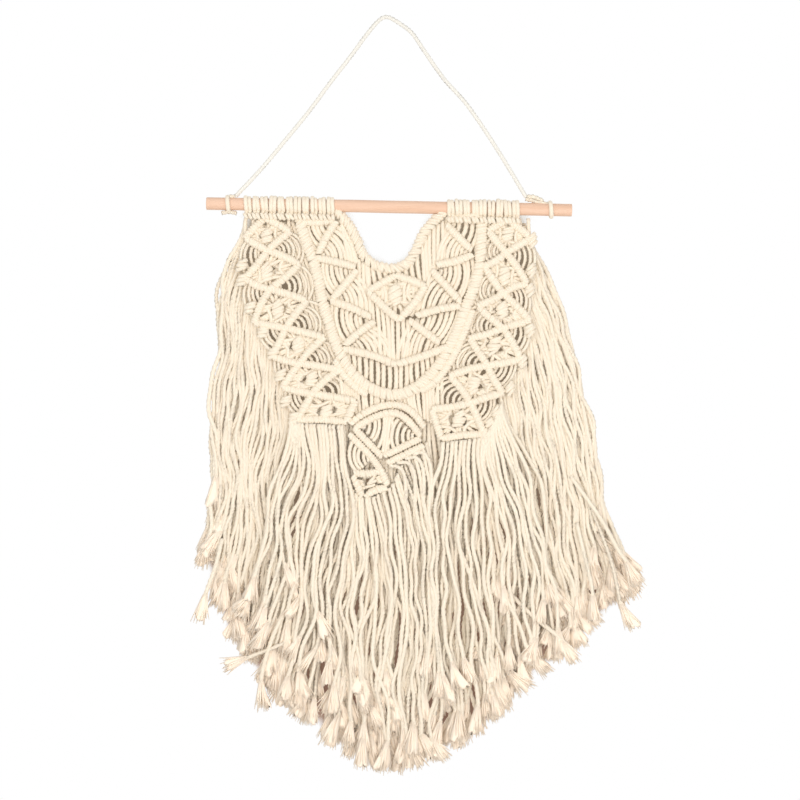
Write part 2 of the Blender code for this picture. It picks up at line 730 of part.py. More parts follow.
def make_fringe(fringe, cutters):
    """Rows of loose strands whose roots are fused into one narrow strip."""
    strip = Shape()
    front, back = fringe.depths[0], fringe.depths[-1]
    near, far = front - STRIP_FRONT, back + STRIP_BACK
    half = STRIP_HALF_WIDTH
    path = evenly([to_vector(p) for p in fringe.strip], 60)
    strip.sweep(path, lambda i: [(-half, near), (half, near), (half, far), (-half, far)])
    strands = Shape()
    for paths in fringe_paths(fringe):
        for path in paths:
            strands.strand(path, FRINGE_RADIUS)
    obj = fused(fringe.name, strip, strands, cutters)
    paint(obj, CREAM, 0.95)


def pendant_cutter():
    """The pendant's bands with their clearance."""
    shape = Shape()
    loop = evenly([to_vector(p) for p in PENDANT_LOOP], RIDGE_STEP + 2, closed=True)
    shape.bar(loop, PENDANT_BAND, closed=True, grow=GAP)
    return shape


def small_diamond_cutter():
    """The small diamond with its clearance."""
    shape = Shape()
    small = evenly([to_vector(p, 0.2) for p in SMALL_DIAMOND], RIDGE_STEP, closed=True)
    shape.bar(small, BAR, closed=True, grow=GAP)
    return shape


def build():
    """Clear the scene and make every piece."""
    for obj in list(bpy.data.objects):
        bpy.data.objects.remove(obj)
    make_dowel()
    make_ties()
    make_hanging_cord()
    make_heading("heading_left", LEFT_HEADING)
    make_heading("heading_right", RIGHT_HEADING)
    make_u_band()
    make_wing("wing_left", LEFT_DIAMONDS, LEFT_WING_FOOT, LEFT_HEADING)
    make_wing("wing_right", RIGHT_DIAMONDS, RIGHT_WING_FOOT, RIGHT_HEADING)
    make_yoke()
    make_pendant()
    for fringe in FRINGES:
        cutters = []
        if fringe.name == "fringe_pendant":
            cutters = [pendant_cutter(), small_diamond_cutter()]
        make_fringe(fringe, cutters)


build()
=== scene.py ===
"""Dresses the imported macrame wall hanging: twisted cord, knotted bars, fans, brushed ends and a pine rod.

Lengths in the tables are in millimetres. The origin is where the hanging cord passes over its nail,
x runs to the right, z up, and the front of the cloth faces -y. Meshes are made in metres.
"""

import logging
import math
from dataclasses import dataclass
from enum import Enum

import bmesh
import bpy
import numpy as np
from mathutils import Matrix, Vector

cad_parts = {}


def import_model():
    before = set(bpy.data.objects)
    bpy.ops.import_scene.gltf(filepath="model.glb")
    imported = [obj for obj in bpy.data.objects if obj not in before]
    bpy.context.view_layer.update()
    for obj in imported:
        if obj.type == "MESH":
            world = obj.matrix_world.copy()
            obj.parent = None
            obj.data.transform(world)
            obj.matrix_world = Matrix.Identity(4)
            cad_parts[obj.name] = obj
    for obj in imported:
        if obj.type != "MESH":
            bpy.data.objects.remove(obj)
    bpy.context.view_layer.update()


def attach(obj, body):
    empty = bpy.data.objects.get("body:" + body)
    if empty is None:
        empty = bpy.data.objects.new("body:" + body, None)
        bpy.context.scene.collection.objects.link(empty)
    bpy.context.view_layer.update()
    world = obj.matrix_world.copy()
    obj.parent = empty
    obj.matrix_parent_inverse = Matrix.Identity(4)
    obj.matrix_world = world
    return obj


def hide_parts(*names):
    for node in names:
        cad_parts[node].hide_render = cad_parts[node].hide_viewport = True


log = logging.getLogger("macrame")

MM = 0.001
CM = 10.0                                # cords carry UVs in centimetres along them
TURN = 2 * math.pi
FORWARD = np.array([0.0, 1.0, 0.0])      # from the front of the cloth to its back
CURVE_POINTS = 12                        # between two corners of a smooth path
ROD_LEFT = (-173.0, -178.8)              # x, z of the rod's axis at its left end
ROD_SLOPE = -0.0177                      # it hangs a little lower at the right
BAR_STEP = 2.0                           # between the points of a bar's centreline
UV_SHIFT = 40                            # hitches start anywhere along this much of the fibre pattern
ROW_SQUASH = 0.94                        # depth of a row of hitches as a part of its height

# ---------------------------------------------------------------- tables

# the hanging cord, as in the part's source: x, z
CORD_ROUTE = (
    (-145, -171.7), (-120, -145), (-94, -114), (-74, -89.5), (-54.5, -63), (-35, -38), (-20, -17.5),
    (-8.5, -4), (0, 0), (11, -5.5), (24, -15.5), (36, -33), (55, -60), (75, -82), (95, -110.5),
    (114, -140.5), (133.2, -172.6),
)
LEFT_TAIL = ((-158.5, -188.2), (-153.5, -186.9), (-148, -187.2), (-144, -188.4))
LEFT_TOP = ((-151.5, -172.4), (-148.5, -172.0), (-145.2, -172.2))
RIGHT_TOP = ((132.5, -174.5), (139, -176), (146, -177.8), (152, -179), (156.5, -181))
RIGHT_ARCH = ((134, -172.3), (139.5, -172.2), (145, -174.2), (149.5, -176.6))

# diamonds of a wing: top, outer corner, inner corner and knot, each x, z
LEFT_DIAMONDS = (
    (-117, -193, -136, -212, -93, -206, -115, -210),
    (-114, -224, -136, -251, -84, -237, -116, -245),
    (-112, -261, -127, -293, -77, -272, -105, -280),
    (-97, -298, -110, -325, -60, -307, -85, -314),
    (-84, -332, -100, -355, -46, -338, -73, -347),
    (-72, -361, -86, -386, -30, -368, -58, -378),
)
LEFT_FOOT = (-39, -388)
LEFT_PICOTS = (
    (-140, -238), (-140, -252), (-132, -278), (-120, -302), (-110, -322), (-103, -343), (-98, -368),
    (-90, -384),
)
RIGHT_DIAMONDS = (
    (115, -194, 138, -212, 97, -205, 116, -208),
    (114, -226, 134, -256, 93, -239, 113, -248),
    (111, -265, 137, -291, 87, -277, 110, -281),
    (111, -298, 128, -328, 79, -308, 103, -315),
    (96, -334, 111, -360, 60, -344, 84, -353),
    (80, -370, 93, -400, 43, -376, 68, -385),
)
RIGHT_FOOT = (52, -404)
RIGHT_PICOTS = (
    (140.5, -214), (139.5, -243), (138, -262), (138, -300), (131, -330), (119, -356), (106, -379),
    (100, -390), (95, -401),
)

COLLAR = (
    (-85, -192), (-76, -219), (-70, -235), (-65, -255), (-62, -272), (-56, -291), (-51, -308),
    (-43, -326), (-31, -344), (-15, -356), (5, -362), (26, -356), (45, -339), (58, -320), (68, -299),
    (76, -277), (84, -257), (89, -235), (91, -192),
)
# a second row of hitches beside the lower part of the collar
COLLAR_SIDES = (
    ((-50, -329), (-42, -342), (-32, -353), (-19, -362)),
    ((32, -359), (50, -345), (64, -324), (74, -302), (82, -281)),
)
NECKLINE = (
    (-50, -185), (-44, -191), (-36, -200), (-28.5, -214), (-22, -229), (-10, -238), (6, -241), (19, -236),
    (27, -225), (34, -209), (43.5, -197), (52, -189), (57, -185),
)

# bars of the yoke: x, z of both ends
YOKE_BARS = (
    (-81.3, -196.1, -50.7, -194.6), (-49, -196.5, -65.5, -227), (-67, -231, -30.6, -239.5),
    (-29, -242.5, -51.6, -269.6), (-54, -272, -15.3, -287.8), (-12, -291.5, -40.2, -314.5),
    (-42, -318, 8.6, -333.2),
    (57.8, -195.1, 88, -190.4), (57, -199, 81, -223.5), (82, -228, 47.8, -237.6),
    (43, -243, 70.7, -273.4), (70, -277, 28.2, -286.3), (21, -290.5, 50.7, -312.6),
    (58, -316, 9.6, -332.7),
    (8.6, -247.6, -18.2, -262.9), (-18.2, -262.9, 11.5, -290.6),
    (8.6, -247.6, 36.7, -258.1), (36.7, -258.1, 11.5, -290.6),
)
# notches between two bars, filled with strands in rings: apex, far end of each bar, number, reach of the last
YOKE_NOTCHES = (
    (-50.7, -195, -81.3, -196, -65.5, -227, 7, 0.97), (-65, -230.4, -50.7, -198.8, -30.6, -239.5, 8, 0.98),
    (-30.6, -242.8, -65, -233.3, -51.6, -269.6, 8, 1.03),
    (-51.6, -272, -30.6, -246.2, -15.3, -287.8, 8, 0.97),
    (-14.8, -291.6, -51.6, -274.4, -40.2, -314.5, 8, 1.03),
    (-39.2, -317.9, -14.3, -295.4, 8.6, -333.2, 8, 0.97),
    (59.3, -196.9, 87, -190.4, 79.3, -222.3, 5, 0.98), (79.8, -226.6, 60.2, -204.6, 47.8, -237.6, 7, 0.97),
    (46.8, -242.8, 79.3, -231.8, 70.7, -274.4, 8, 1.04), (68.8, -277.2, 44.5, -248.6, 28.2, -286.3, 8, 0.97),
    (22.9, -290.6, 66.9, -280.1, 50.7, -312.6, 8, 1.04), (53.1, -316, 21, -295.4, 9.6, -332.7, 8, 0.97),
    (-18.2, -262.9, 8.6, -247.6, 11.5, -290.6, 4, 0.55), (36.7, -258.1, 8.6, -247.6, 11.5, -290.6, 5, 0.6),
)
# straight strands of the yoke: x, z of the top and of the foot
YOKE_STRANDS = (
    (-20, -233, -17, -262), (-14.5, -236, -11, -257), (-9, -240, -5.5, -254), (-3, -241, 0, -251),
    (10.5, -240, 13, -251), (16.5, -238, 19.5, -253), (22.5, -232, 26, -256), (28, -225, 32.5, -258),
    (-44.9, -194.1, -35, -216), (-38.2, -202, -28.5, -236), (-44, -198, -36, -236),
    (-23, -235, -20.1, -281.1), (-18, -239, -15.6, -284.9), (-27, -232, -25.5, -281.1),
    (44, -238, 38.5, -260), (40.2, -255.3, 28.7, -283), (36.3, -261.9, 22.9, -286.8),
    (-14.5, -271.5, -10.6, -326), (-9.6, -273.4, -6.2, -328), (-5, -277.2, -2, -330), (0, -282, 2.5, -332),
    (5, -287.8, 6.8, -332), (10.5, -290.6, 10.8, -332), (15.3, -288.7, 14.8, -331), (20.1, -290, 19, -330),
)
# strands side by side, at the right of the neckline and between the yoke's foot and the collar:
# x, z of the first one's top and foot, and of the last one's, and their number
YOKE_RUNS = (
    (57.5, -193, 54.5, -236, 32, -208, 36, -254, 7),
    (-38, -321, -37, -336, 2.5, -334, 2, -361, 8),
    (8.6, -334, 8, -361, 48, -323, 51, -335, 9),
)
YOKE_DIAMOND = ((8.6, -247.6), (-18.2, -262.9), (36.7, -258.1), (11.5, -290.6))
CENTRE_KNOT = (7.9, -266.5)

# pendant: curved and straight bars, each a run of x, z
PENDANT_OUTER_ARC = (
    (-35.4, -390), (-25.8, -382.2), (-10.5, -374.4), (4.3, -371.4), (16.5, -373.6), (26.5, -381.2),
    (35.5, -392.6),
)
PENDANT_INNER_ARC = (
    (-30, -393.6), (-19.5, -387), (-7, -381.4), (3.6, -379.2), (12.6, -381), (22.4, -389), (32, -401.5),
)
PENDANT_SIDES = (
    ((-32, -393.5), (-5.2, -421)), ((-36.5, -399.5), (-15.5, -421), (-4, -438)),
    ((31.5, -404), (-2.9, -420.4)), ((35, -410.5), (0, -427.5)),
)
PENDANT_NOTCHES = (
    (-25.5, -391.5, 2.8, -379, -4.8, -418, 6, 0.94), (29, -402, 4.5, -379, -1, -418, 6, 0.9),
    (-14.5, -424, -34.5, -402, -29.7, -438, 5, 0.88),
)
PENDANT_STRANDS = ((0.5, -380, -4, -418), (3.4, -380, -1.6, -419))
# strands from the collar to the pendant and the wings, in the same columns
LINKS = (
    (-47, -325, -40, -384, -10, -358, -11, -377, 9), (-9, -362, -8, -376, 13, -362, 14, -377, 6),
    (14, -359, 19, -378, 52, -330, 53, -394, 11),
)
# loose cords that leave the lowest bar of the pendant sideways
PENDANT_LOOSE = (
    ((2, -430), (11, -431), (17, -440), (18, -462), (17, -486)),
    ((9, -427), (20, -427), (26, -437), (27, -460), (25, -488)),
    ((17, -423), (28, -422), (34.5, -433), (35, -458), (33, -490)),
    ((25, -419), (34, -417), (41, -428), (43, -455), (41, -492)),
)
SMALL_DIAMOND = (
    ((-31.6, -436.9), (-7.6, -435.5)), ((-5.2, -434.6), (0.6, -448.4)), ((0, -450.8), (-20.6, -459.4)),
    ((-33, -439.3), (-23.9, -459.4)),
)
SMALL_KNOT = (-16, -446)

# the fringe's cords, and the tips of their tufts, stay between these x
EDGES = (-175.0, 237.0)
TUFT_EDGES = (-182.0, 244.0)
# lower outline of the fringe: x, z
FRINGE_OUTLINE = (
    (-179, -526), (-146, -602), (-102, -664), (-54, -698), (-11, -732), (16, -728), (48, -718),
    (87, -694), (127, -650), (170, -617), (204, -586), (245, -555),
)


class Row(Enum):
    """Where the rows of a fringe hang, as depths y from the middle of the cloth."""

    BEHIND = (5.4, 9.8)
    BEFORE = (-3.6, 1.0)
    BELOW = (-1.2, 2.4)


# ---------------------------------------------------------------- sizes and finishes

@dataclass(frozen=True)
class Cord:
    """A laid cord: radius, depth of its grooves as a part of that, length of one turn, the mesh's step."""

    radius: float = 2.4
    groove: float = 0.26
    lay: float = 16.0
    step: float = 3.0
    plies: int = 3


@dataclass(frozen=True)
class BarSize:
    """A row of hitches: radius of the turns, radius of their cord, spacing, lean and flattening."""

    loop: float
    cord: float
    pitch: float
    lean: float
    flat: float = 1.0


@dataclass(frozen=True)
class Hand:
    """How unevenly a hand ties: lengths in millimetres, the rest as parts of the size that they change."""

    pairing: float = 0.05                             # hitches sit in pairs
    spacing: float = 0.07
    end_turn: float = 0.72                            # a row's end turns are smaller than the rest
    turn_growth: float = 0.16
    turn_size: float = 0.06
    turn_cord: float = 0.03
    lean: float = 0.25
    own_lean: float = 0.05
    bar_bend: float = 0.9
    bend_axes: tuple = (1, 0.3, 1)
    run_depth: tuple[float, float] = (0.4, 1.8)       # of strands side by side
    run_bow: float = 0.8
    strand_bulge: float = -0.4                        # of a strand's middle, towards the front
    ring_reach: float = 0.012
    ring_skew: float = 0.02
    ring_pull: float = 0.02


@dataclass(frozen=True)
class Tones:
    """How light the cotton may be, from and to: of cords, of hitches, and of a tuft's body and locks."""

    cord: tuple[float, float] = (0.86, 1.12)
    hitch: tuple[float, float] = (0.9, 1.12)
    body: tuple[float, float] = (0.85, 1.05)
    lock: tuple[float, float] = (0.85, 1.2)


@dataclass(frozen=True)
class FanSize:
    """The rings of strands between two bars: where the first lies along them, and their depths."""

    first: float = 0.15
    corners: int = 9
    front: float = -0.2
    back: float = 0.6
    bulge: float = 0.7


@dataclass(frozen=True)
class FieldSize:
    """The cords of a diamond: shares are along its bars, and depths grow towards the back."""

    strands: int = 5
    first: float = 0.12
    last: float = 0.88
    unevenness: float = 0.025
    gathered: tuple[float, float] = (0.4, 0.42)       # how near the knot they come, across and up
    depth: tuple[float, float] = (-0.2, 1.4)
    bow: float = 1.1
    crossing: tuple[float, float] = (0.3, 0.7)
    crossing_depths: tuple[float, float] = (3.6, 4.4)
    crossing_bow: float = 2.0
    corner_share: float = 0.5
    corner_unevenness: float = 0.04
    corner_depth: float = -0.9
    corner_draw: float = 0.28                         # how far corner cords are drawn to the knot
    knot_rise: float = 0.21                           # half the knot's height, as a part of the diamond's
    knot_lean: float = 1.6
    knot_depth: float = -1.4
    knot_squash: float = 0.6


@dataclass(frozen=True)
class TuftSize:
    """A brushed end: its depth as a part of its width, then its grooved body and its locks of fibre."""

    depth: float = 0.42
    sides: int = 12
    body_at: tuple = (0.0, 0.16, 0.34, 0.54, 0.76, 0.94, 1.0)
    body_wide: tuple = (0.0, 0.12, 0.36, 0.64, 0.9, 0.96, 0.5)
    body_start: float = 2.0
    body_reach: float = 0.84
    groove: float = 0.74
    lump: tuple[float, float] = (0.85, 1.12)
    cut: float = 0.86                                 # how much of the length the body has
    cut_uneven: tuple[float, float] = (-0.1, 0.08)
    bend: float = 0.09
    bend_depth: float = 0.3                           # as a part of its bend and curl sideways
    groove_growth: float = 2.5                        # grooves are whole after 1 / this of the length
    fibre_stretch: float = 0.4
    locks: int = 26
    lock_at: tuple = (0.08, 0.58, 1.0)
    lock_thick: tuple = (0.9, 1.15, 0.35)
    lock_start: float = 1.6
    lock_opening: float = 1.1
    lock_depth: float = 1.1                           # locks stand a little proud of the body
    lock_reach: tuple[float, float] = (0.62, 1.04)
    lock_run: tuple[float, float] = (0.74, 1.02)
    lock_shift: float = 9.0                           # locks start anywhere along this much of the pattern
    curl: float = 1.5


FREE_CORD = Cord()
HANGER_CORD = Cord(radius=2.2, groove=0.16, lay=11.0, step=1.3)
WOVEN_CORD = Cord(radius=2.1, groove=0.2, lay=12.0, step=2.1)
FAN_CORD = Cord(radius=1.85, groove=0.2, lay=12.0, step=2.1)
STOUT_CORD = Cord(radius=2.4, groove=0.2, lay=14.0, step=2.5)
SINGLE_BAR = BarSize(loop=2.3, cord=1.95, pitch=2.6, lean=0.3)
DOUBLE_BAR = BarSize(loop=2.1, cord=1.85, pitch=2.5, lean=0.3)
COLLAR_BAR = BarSize(loop=3.9, cord=2.1, pitch=3.1, lean=0.35)
NECK_BAR = BarSize(loop=3.3, cord=2.2, pitch=3.4, lean=0.8)
HEADER_ROW = BarSize(loop=2.0, cord=1.9, pitch=3.9, lean=0.5)
PICOT_BAR = BarSize(loop=3.9, cord=2.3, pitch=3.5, lean=0.45)
FAT_KNOT = BarSize(loop=5.0, cord=2.2, pitch=3.1, lean=0.35, flat=0.9)
LONG_KNOT = BarSize(loop=5.4, cord=2.2, pitch=3.3, lean=0.3, flat=0.9)
SMALL_KNOT_BAR = BarSize(loop=3.6, cord=2.0, pitch=2.9, lean=0.5, flat=0.9)
BAR_DEPTH = (-2.0, -2.5)         # bars stand in front of the strands that they hold, in turn at two depths
HAND = Hand()
TONES = Tones()
FAN = FanSize()
FIELD = FieldSize()
TUFT = TuftSize()


@dataclass(frozen=True)
class CottonFinish:
    """Colours and texture of the cotton: lit fibres, the painted shade of the grooves between them, sheen,
    and how strongly fibres show.
    """

    name: str
    lit: tuple[float, float, float]
    groove_shade: tuple[float, float, float]
    sheen: float
    fibre_bump: float
    streak: float
    roughness: float = 0.92


# each finish's second colour is painted shade between the fibres
CORD_FINISH = CottonFinish("cotton_cord", (0.885, 0.805, 0.67), (0.82, 0.69, 0.55), 0.25, 0.35, 0.45)
BRUSHED_FINISH = CottonFinish("brushed_cotton", (1.0, 0.885, 0.745), (1.0, 0.82, 0.66), 0.1, 0.2, 0.4)
HANGER_FINISH = CottonFinish("bleached_cord", (0.83, 0.81, 0.755), (0.75, 0.72, 0.66), 0.2, 0.3, 0.45)


@dataclass(frozen=True)
class PineFinish:
    """Colours of planed pine, whether it shows rings, its grain's stretch and what centres the rings.

    The line share is how strongly the darker lines show.
    """

    name: str
    pale: tuple[float, float, float]
    line: tuple[float, float, float]
    rings: bool
    stretch: float = 14.0
    pith: tuple[float, float, float] = (0, 0.003, 0.184)
    line_share: float = 0.55
    roughness: float = 0.55


ROD_SIDE = PineFinish("pine_side", (0.79, 0.545, 0.405), (0.69, 0.42, 0.28), False)
ROD_END = PineFinish("pine_end", (0.78, 0.54, 0.39), (0.62, 0.38, 0.25), True)


# ---------------------------------------------------------------- materials

def new_group(name: str, inputs: dict[str, tuple[str, float]], outputs: dict[str, str]) -> bpy.types.NodeTree:
    """Makes an empty shader group.

    Args:
        name: what the group is called.
        inputs: socket name to its type and default.
        outputs: socket name to its type.
    Returns:
        The group, with its input and output nodes in it.
    """
    group = bpy.data.node_groups.new(name, "ShaderNodeTree")
    for label, (kind, default) in inputs.items():
        socket = group.interface.new_socket(name=label, in_out="INPUT", socket_type=kind)
        if kind == "NodeSocketFloat":
            socket.default_value = default
    for label, kind in outputs.items():
        group.interface.new_socket(name=label, in_out="OUTPUT", socket_type=kind)
    group.nodes.new("NodeGroupInput")
    group.nodes.new("NodeGroupOutput")
    return group


def ends_of(group: bpy.types.NodeTree) -> tuple[bpy.types.Node, bpy.types.Node]:
    """The input and output node of a group."""
    return group.nodes["Group Input"], group.nodes["Group Output"]


def feed(tree: bpy.types.NodeTree, node: bpy.types.Node, inputs: dict) -> None:
    """Links or sets a node's inputs.

    Args:
        tree: the nodes that it stands among.
        node: the node.
        inputs: each input's name or number, with the socket that feeds it or the value that it holds.
    """
    for label, value in inputs.items():
        if isinstance(value, bpy.types.NodeSocket):
            tree.links.new(value, node.inputs[label])
        else:
            node.inputs[label].default_value = value


def add(tree: bpy.types.NodeTree, kind: str, inputs: dict | None = None,
        **settings: object) -> bpy.types.Node:
    """Adds a node.

    Args:
        tree: the nodes that it joins.
        kind: its type.
        inputs: what feeds its inputs.
        settings: its own settings.
    Returns:
        The node.
    """
    node = tree.nodes.new(kind)
    for label, value in settings.items():
        setattr(node, label, value)
    feed(tree, node, inputs or {})
    return node


def fibre_group() -> bpy.types.NodeTree:
    """Streaks and fuzz that run along a cord; the streaks carry painted shade between the fibres.

    Returns:
        A group that turns the cord's UV (around, along in centimetres), its tone and the strength of its
        streaks into how light it is, and a height.
    """
    group = new_group("cotton_fibres", {"UV": ("NodeSocketVector", 0), "Tone": ("NodeSocketFloat", 1.0),
                                        "Streak": ("NodeSocketFloat", 0.45)},
                      {"Lightness": "NodeSocketFloat", "Height": "NodeSocketFloat"})
    given, out = ends_of(group)
    noises = []
    for stretch, detail in (((14, 2.4, 1), 3), ((30, 16, 1), 2)):
        stretched = add(group, "ShaderNodeMapping", {"Vector": given.outputs["UV"], "Scale": stretch})
        noise = add(group, "ShaderNodeTexNoise",
                    {"Vector": stretched.outputs[0], "Scale": 1, "Detail": detail})
        noises.append(noise.outputs["Fac"])
    mixed = add(group, "ShaderNodeMix", {"Factor": 0.35, "A": noises[0], "B": noises[1]})
    spread = add(group, "ShaderNodeMapRange",
                 {"Value": mixed.outputs["Result"], "From Min": 0.36, "From Max": 0.62})
    streaks = add(group, "ShaderNodeMath", {0: spread.outputs["Result"], 1: given.outputs["Streak"]},
                  operation="MULTIPLY")
    lightness = add(group, "ShaderNodeMath", {0: given.outputs["Tone"], 1: streaks.outputs[0]},
                    operation="SUBTRACT")
    feed(group, out, {"Lightness": lightness.outputs[0], "Height": mixed.outputs["Result"]})
    return group


def grain_group() -> bpy.types.NodeTree:
    """Long wavering lines of wood grain.

    Returns:
        A group that turns object coordinates into a mask and a height.
    """
    group = new_group("pine_grain", {"Vector": ("NodeSocketVector", 0), "Stretch": ("NodeSocketFloat", 14.0)},
                      {"Mask": "NodeSocketFloat", "Height": "NodeSocketFloat"})
    given, out = ends_of(group)
    stretch = add(group, "ShaderNodeCombineXYZ", {"X": given.outputs["Stretch"], "Y": 260, "Z": 260})
    scaled = add(group, "ShaderNodeVectorMath", {0: given.outputs["Vector"], 1: stretch.outputs[0]},
                 operation="MULTIPLY")
    noise = add(group, "ShaderNodeTexNoise",
                {"Vector": scaled.outputs[0], "Scale": 1, "Detail": 4, "Roughness": 0.6})
    lines = add(group, "ShaderNodeMapRange",
                {"Value": noise.outputs["Fac"], "From Min": 0.42, "From Max": 0.72})
    feed(group, out, {"Mask": lines.outputs["Result"], "Height": noise.outputs["Fac"]})
    return group


class Finishes:
    """The materials of the whole object, each made once."""

    def __init__(self) -> None:
        """Builds the shared groups and the five materials."""
        self.fibres = fibre_group()
        self.grain = grain_group()
        self.cord = self.cotton(CORD_FINISH)
        self.brushed = self.cotton(BRUSHED_FINISH)
        self.bleached = self.cotton(HANGER_FINISH)
        self.side = self.pine(ROD_SIDE)
        self.end = self.pine(ROD_END)

    def blank(self, name: str, roughness: float) -> tuple[bpy.types.Material, bpy.types.Node]:
        """A new material and its shader.

        Args:
            name: the material's name.
            roughness: the same all over.
        Returns:
            The material and its Principled BSDF.
        """
        material = bpy.data.materials.new(name)
        material.use_nodes = True
        shader = material.node_tree.nodes["Principled BSDF"]
        shader.inputs["Roughness"].default_value = roughness
        shader.inputs["Specular IOR Level"].default_value = 0.25
        return material, shader

    def cotton(self, finish: CottonFinish) -> bpy.types.Material:
        """Matt twisted cotton, painted a little darker along its fibre streaks as shade between the fibres,
        on a tone that differs at random.

        Args:
            finish: its colours and texture.
        Returns:
            The material.
        """
        material, shader = self.blank(finish.name, finish.roughness)
        tree = material.node_tree
        uv = add(tree, "ShaderNodeUVMap", uv_map="lay").outputs["UV"]
        tone = add(tree, "ShaderNodeAttribute", attribute_name="tone").outputs["Fac"]
        fibres = add(tree, "ShaderNodeGroup", {"UV": uv, "Tone": tone, "Streak": finish.streak},
                     node_tree=self.fibres)
        # painted shade: the streaks mix the lit colour towards the groove shade
        colour = add(tree, "ShaderNodeMix", {"Factor": fibres.outputs["Lightness"], "A": (*finish.groove_shade, 1),
                                             "B": (*finish.lit, 1)}, data_type="RGBA", clamp_factor=True)
        bump = add(tree, "ShaderNodeBump", {"Height": fibres.outputs["Height"], "Strength": finish.fibre_bump,
                                            "Distance": 0.4 * MM})
        feed(tree, shader, {"Base Color": colour.outputs["Result"], "Normal": bump.outputs["Normal"],
                            "Sheen Weight": finish.sheen, "Sheen Roughness": 0.6})
        return material

    def pine(self, finish: PineFinish) -> bpy.types.Material:
        """Planed pine with long grain on its side, or rings on its cut end.

        Args:
            finish: its colours, and whether it is an end.
        Returns:
            The material.
        """
        material, shader = self.blank(finish.name, finish.roughness)
        tree = material.node_tree
        place = add(tree, "ShaderNodeTexCoord").outputs["Object"]
        grain = add(tree, "ShaderNodeGroup", {"Vector": place, "Stretch": finish.stretch},
                    node_tree=self.grain)
        mask = grain.outputs["Mask"]
        if finish.rings:
            centred = add(tree, "ShaderNodeMapping", {"Vector": place, "Location": finish.pith})
            rings = add(tree, "ShaderNodeTexWave",
                        {"Vector": centred.outputs[0], "Scale": 190, "Distortion": 2},
                        wave_type="RINGS", rings_direction="X")
            mask = rings.outputs["Fac"]
        faint = add(tree, "ShaderNodeMath", {0: mask, 1: finish.line_share}, operation="MULTIPLY")
        colour = add(tree, "ShaderNodeMix", {"Factor": faint.outputs[0], "A": (*finish.pale, 1),
                                             "B": (*finish.line, 1)}, data_type="RGBA")
        bump = add(tree, "ShaderNodeBump", {"Height": grain.outputs["Height"], "Strength": 0.15,
                                            "Distance": 0.2 * MM})
        feed(tree, shader, {"Base Color": colour.outputs["Result"], "Normal": bump.outputs["Normal"]})
        return material


# ---------------------------------------------------------------- curves

def spots(places: tuple, y: float = 0.0) -> np.ndarray:
    """Places given as x, z as points at one depth.

    Args:
        places: rows of x, z.
        y: their depth.
    Returns:
        An array of points.
    """
    flat = np.array(places, float)
    return np.column_stack([flat[:, 0], np.full(len(flat), y), flat[:, 1]])


def unit(vectors: np.ndarray) -> np.ndarray:
    """Vectors of length one in the same directions."""
    return vectors / np.maximum(np.linalg.norm(vectors, axis=-1, keepdims=True), 1e-9)


def lengths_along(path: np.ndarray) -> np.ndarray:
    """How far along the path each of its points lies."""
    return np.concatenate([[0.0], np.cumsum(np.linalg.norm(np.diff(path, axis=0), axis=1))])


def values_at(where: np.ndarray, along: np.ndarray, values: np.ndarray) -> np.ndarray:
    """Points or directions at places along a path.

    Args:
        where: how far along the path.
        along: how far along it each of its points lies.
        values: what it has at each of its points.
    Returns:
        What it has at those places.
    """
    return np.column_stack([np.interp(where, along, values[:, k]) for k in range(3)])


def resampled(path: np.ndarray, step: float) -> np.ndarray:
    """Points about a step apart on the same line.

    Args:
        path: its corners.
        step: the distance from point to point.
    Returns:
        The new points, both ends among them.
    """
    along = lengths_along(path)
    count = max(2, round(along[-1] / step) + 1)
    return values_at(np.linspace(0, along[-1], count), along, path)


def smooth_path(points: np.ndarray, step: float) -> np.ndarray:
    """A smooth curve through points.

    Args:
        points: what it passes through.
        step: the distance between the points that are returned.
    Returns:
        Points on a Catmull-Rom curve.
    """
    if len(points) < 3:
        return resampled(points, step)
    padded = np.vstack([2 * points[0] - points[1], points, 2 * points[-1] - points[-2]])
    t = np.linspace(0, 1, CURVE_POINTS, endpoint=False)[:, None]
    pieces = []
    for p0, p1, p2, p3 in zip(padded, padded[1:], padded[2:], padded[3:]):
        pieces.append(0.5 * (2 * p1 + (p2 - p0) * t + (2 * p0 - 5 * p1 + 4 * p2 - p3) * t ** 2
                             + (3 * p1 - p0 - 3 * p2 + p3) * t ** 3))
    return resampled(np.vstack([*pieces, points[-1:]]), step)


def sides_of(path: np.ndarray) -> tuple[np.ndarray, np.ndarray, np.ndarray]:
    """Directions along a path that lies near the plane of the cloth.

    Args:
        path: its points.
    Returns:
        Ahead, across in the plane of the cloth, and out of that plane, at each point.
    """
    ahead = unit(np.gradient(path, axis=0))
    across = unit(np.cross(FORWARD, ahead))
    return ahead, across, np.cross(ahead, across)


def bar_depth(order: int) -> float:
    """y of a bar, from its place among its neighbours."""
    return BAR_DEPTH[order % 2]


def dowel_z(x: float) -> float:
    """Height of the rod's axis at x."""
    return ROD_LEFT[1] + ROD_SLOPE * (x - ROD_LEFT[0])


def outline_at(x: np.ndarray) -> np.ndarray:
    """Height of the fringe's lower outline at x."""
    rows = np.array(FRINGE_OUTLINE, float)
    return np.interp(x, rows[:, 0], rows[:, 1])


# ---------------------------------------------------------------- yarn

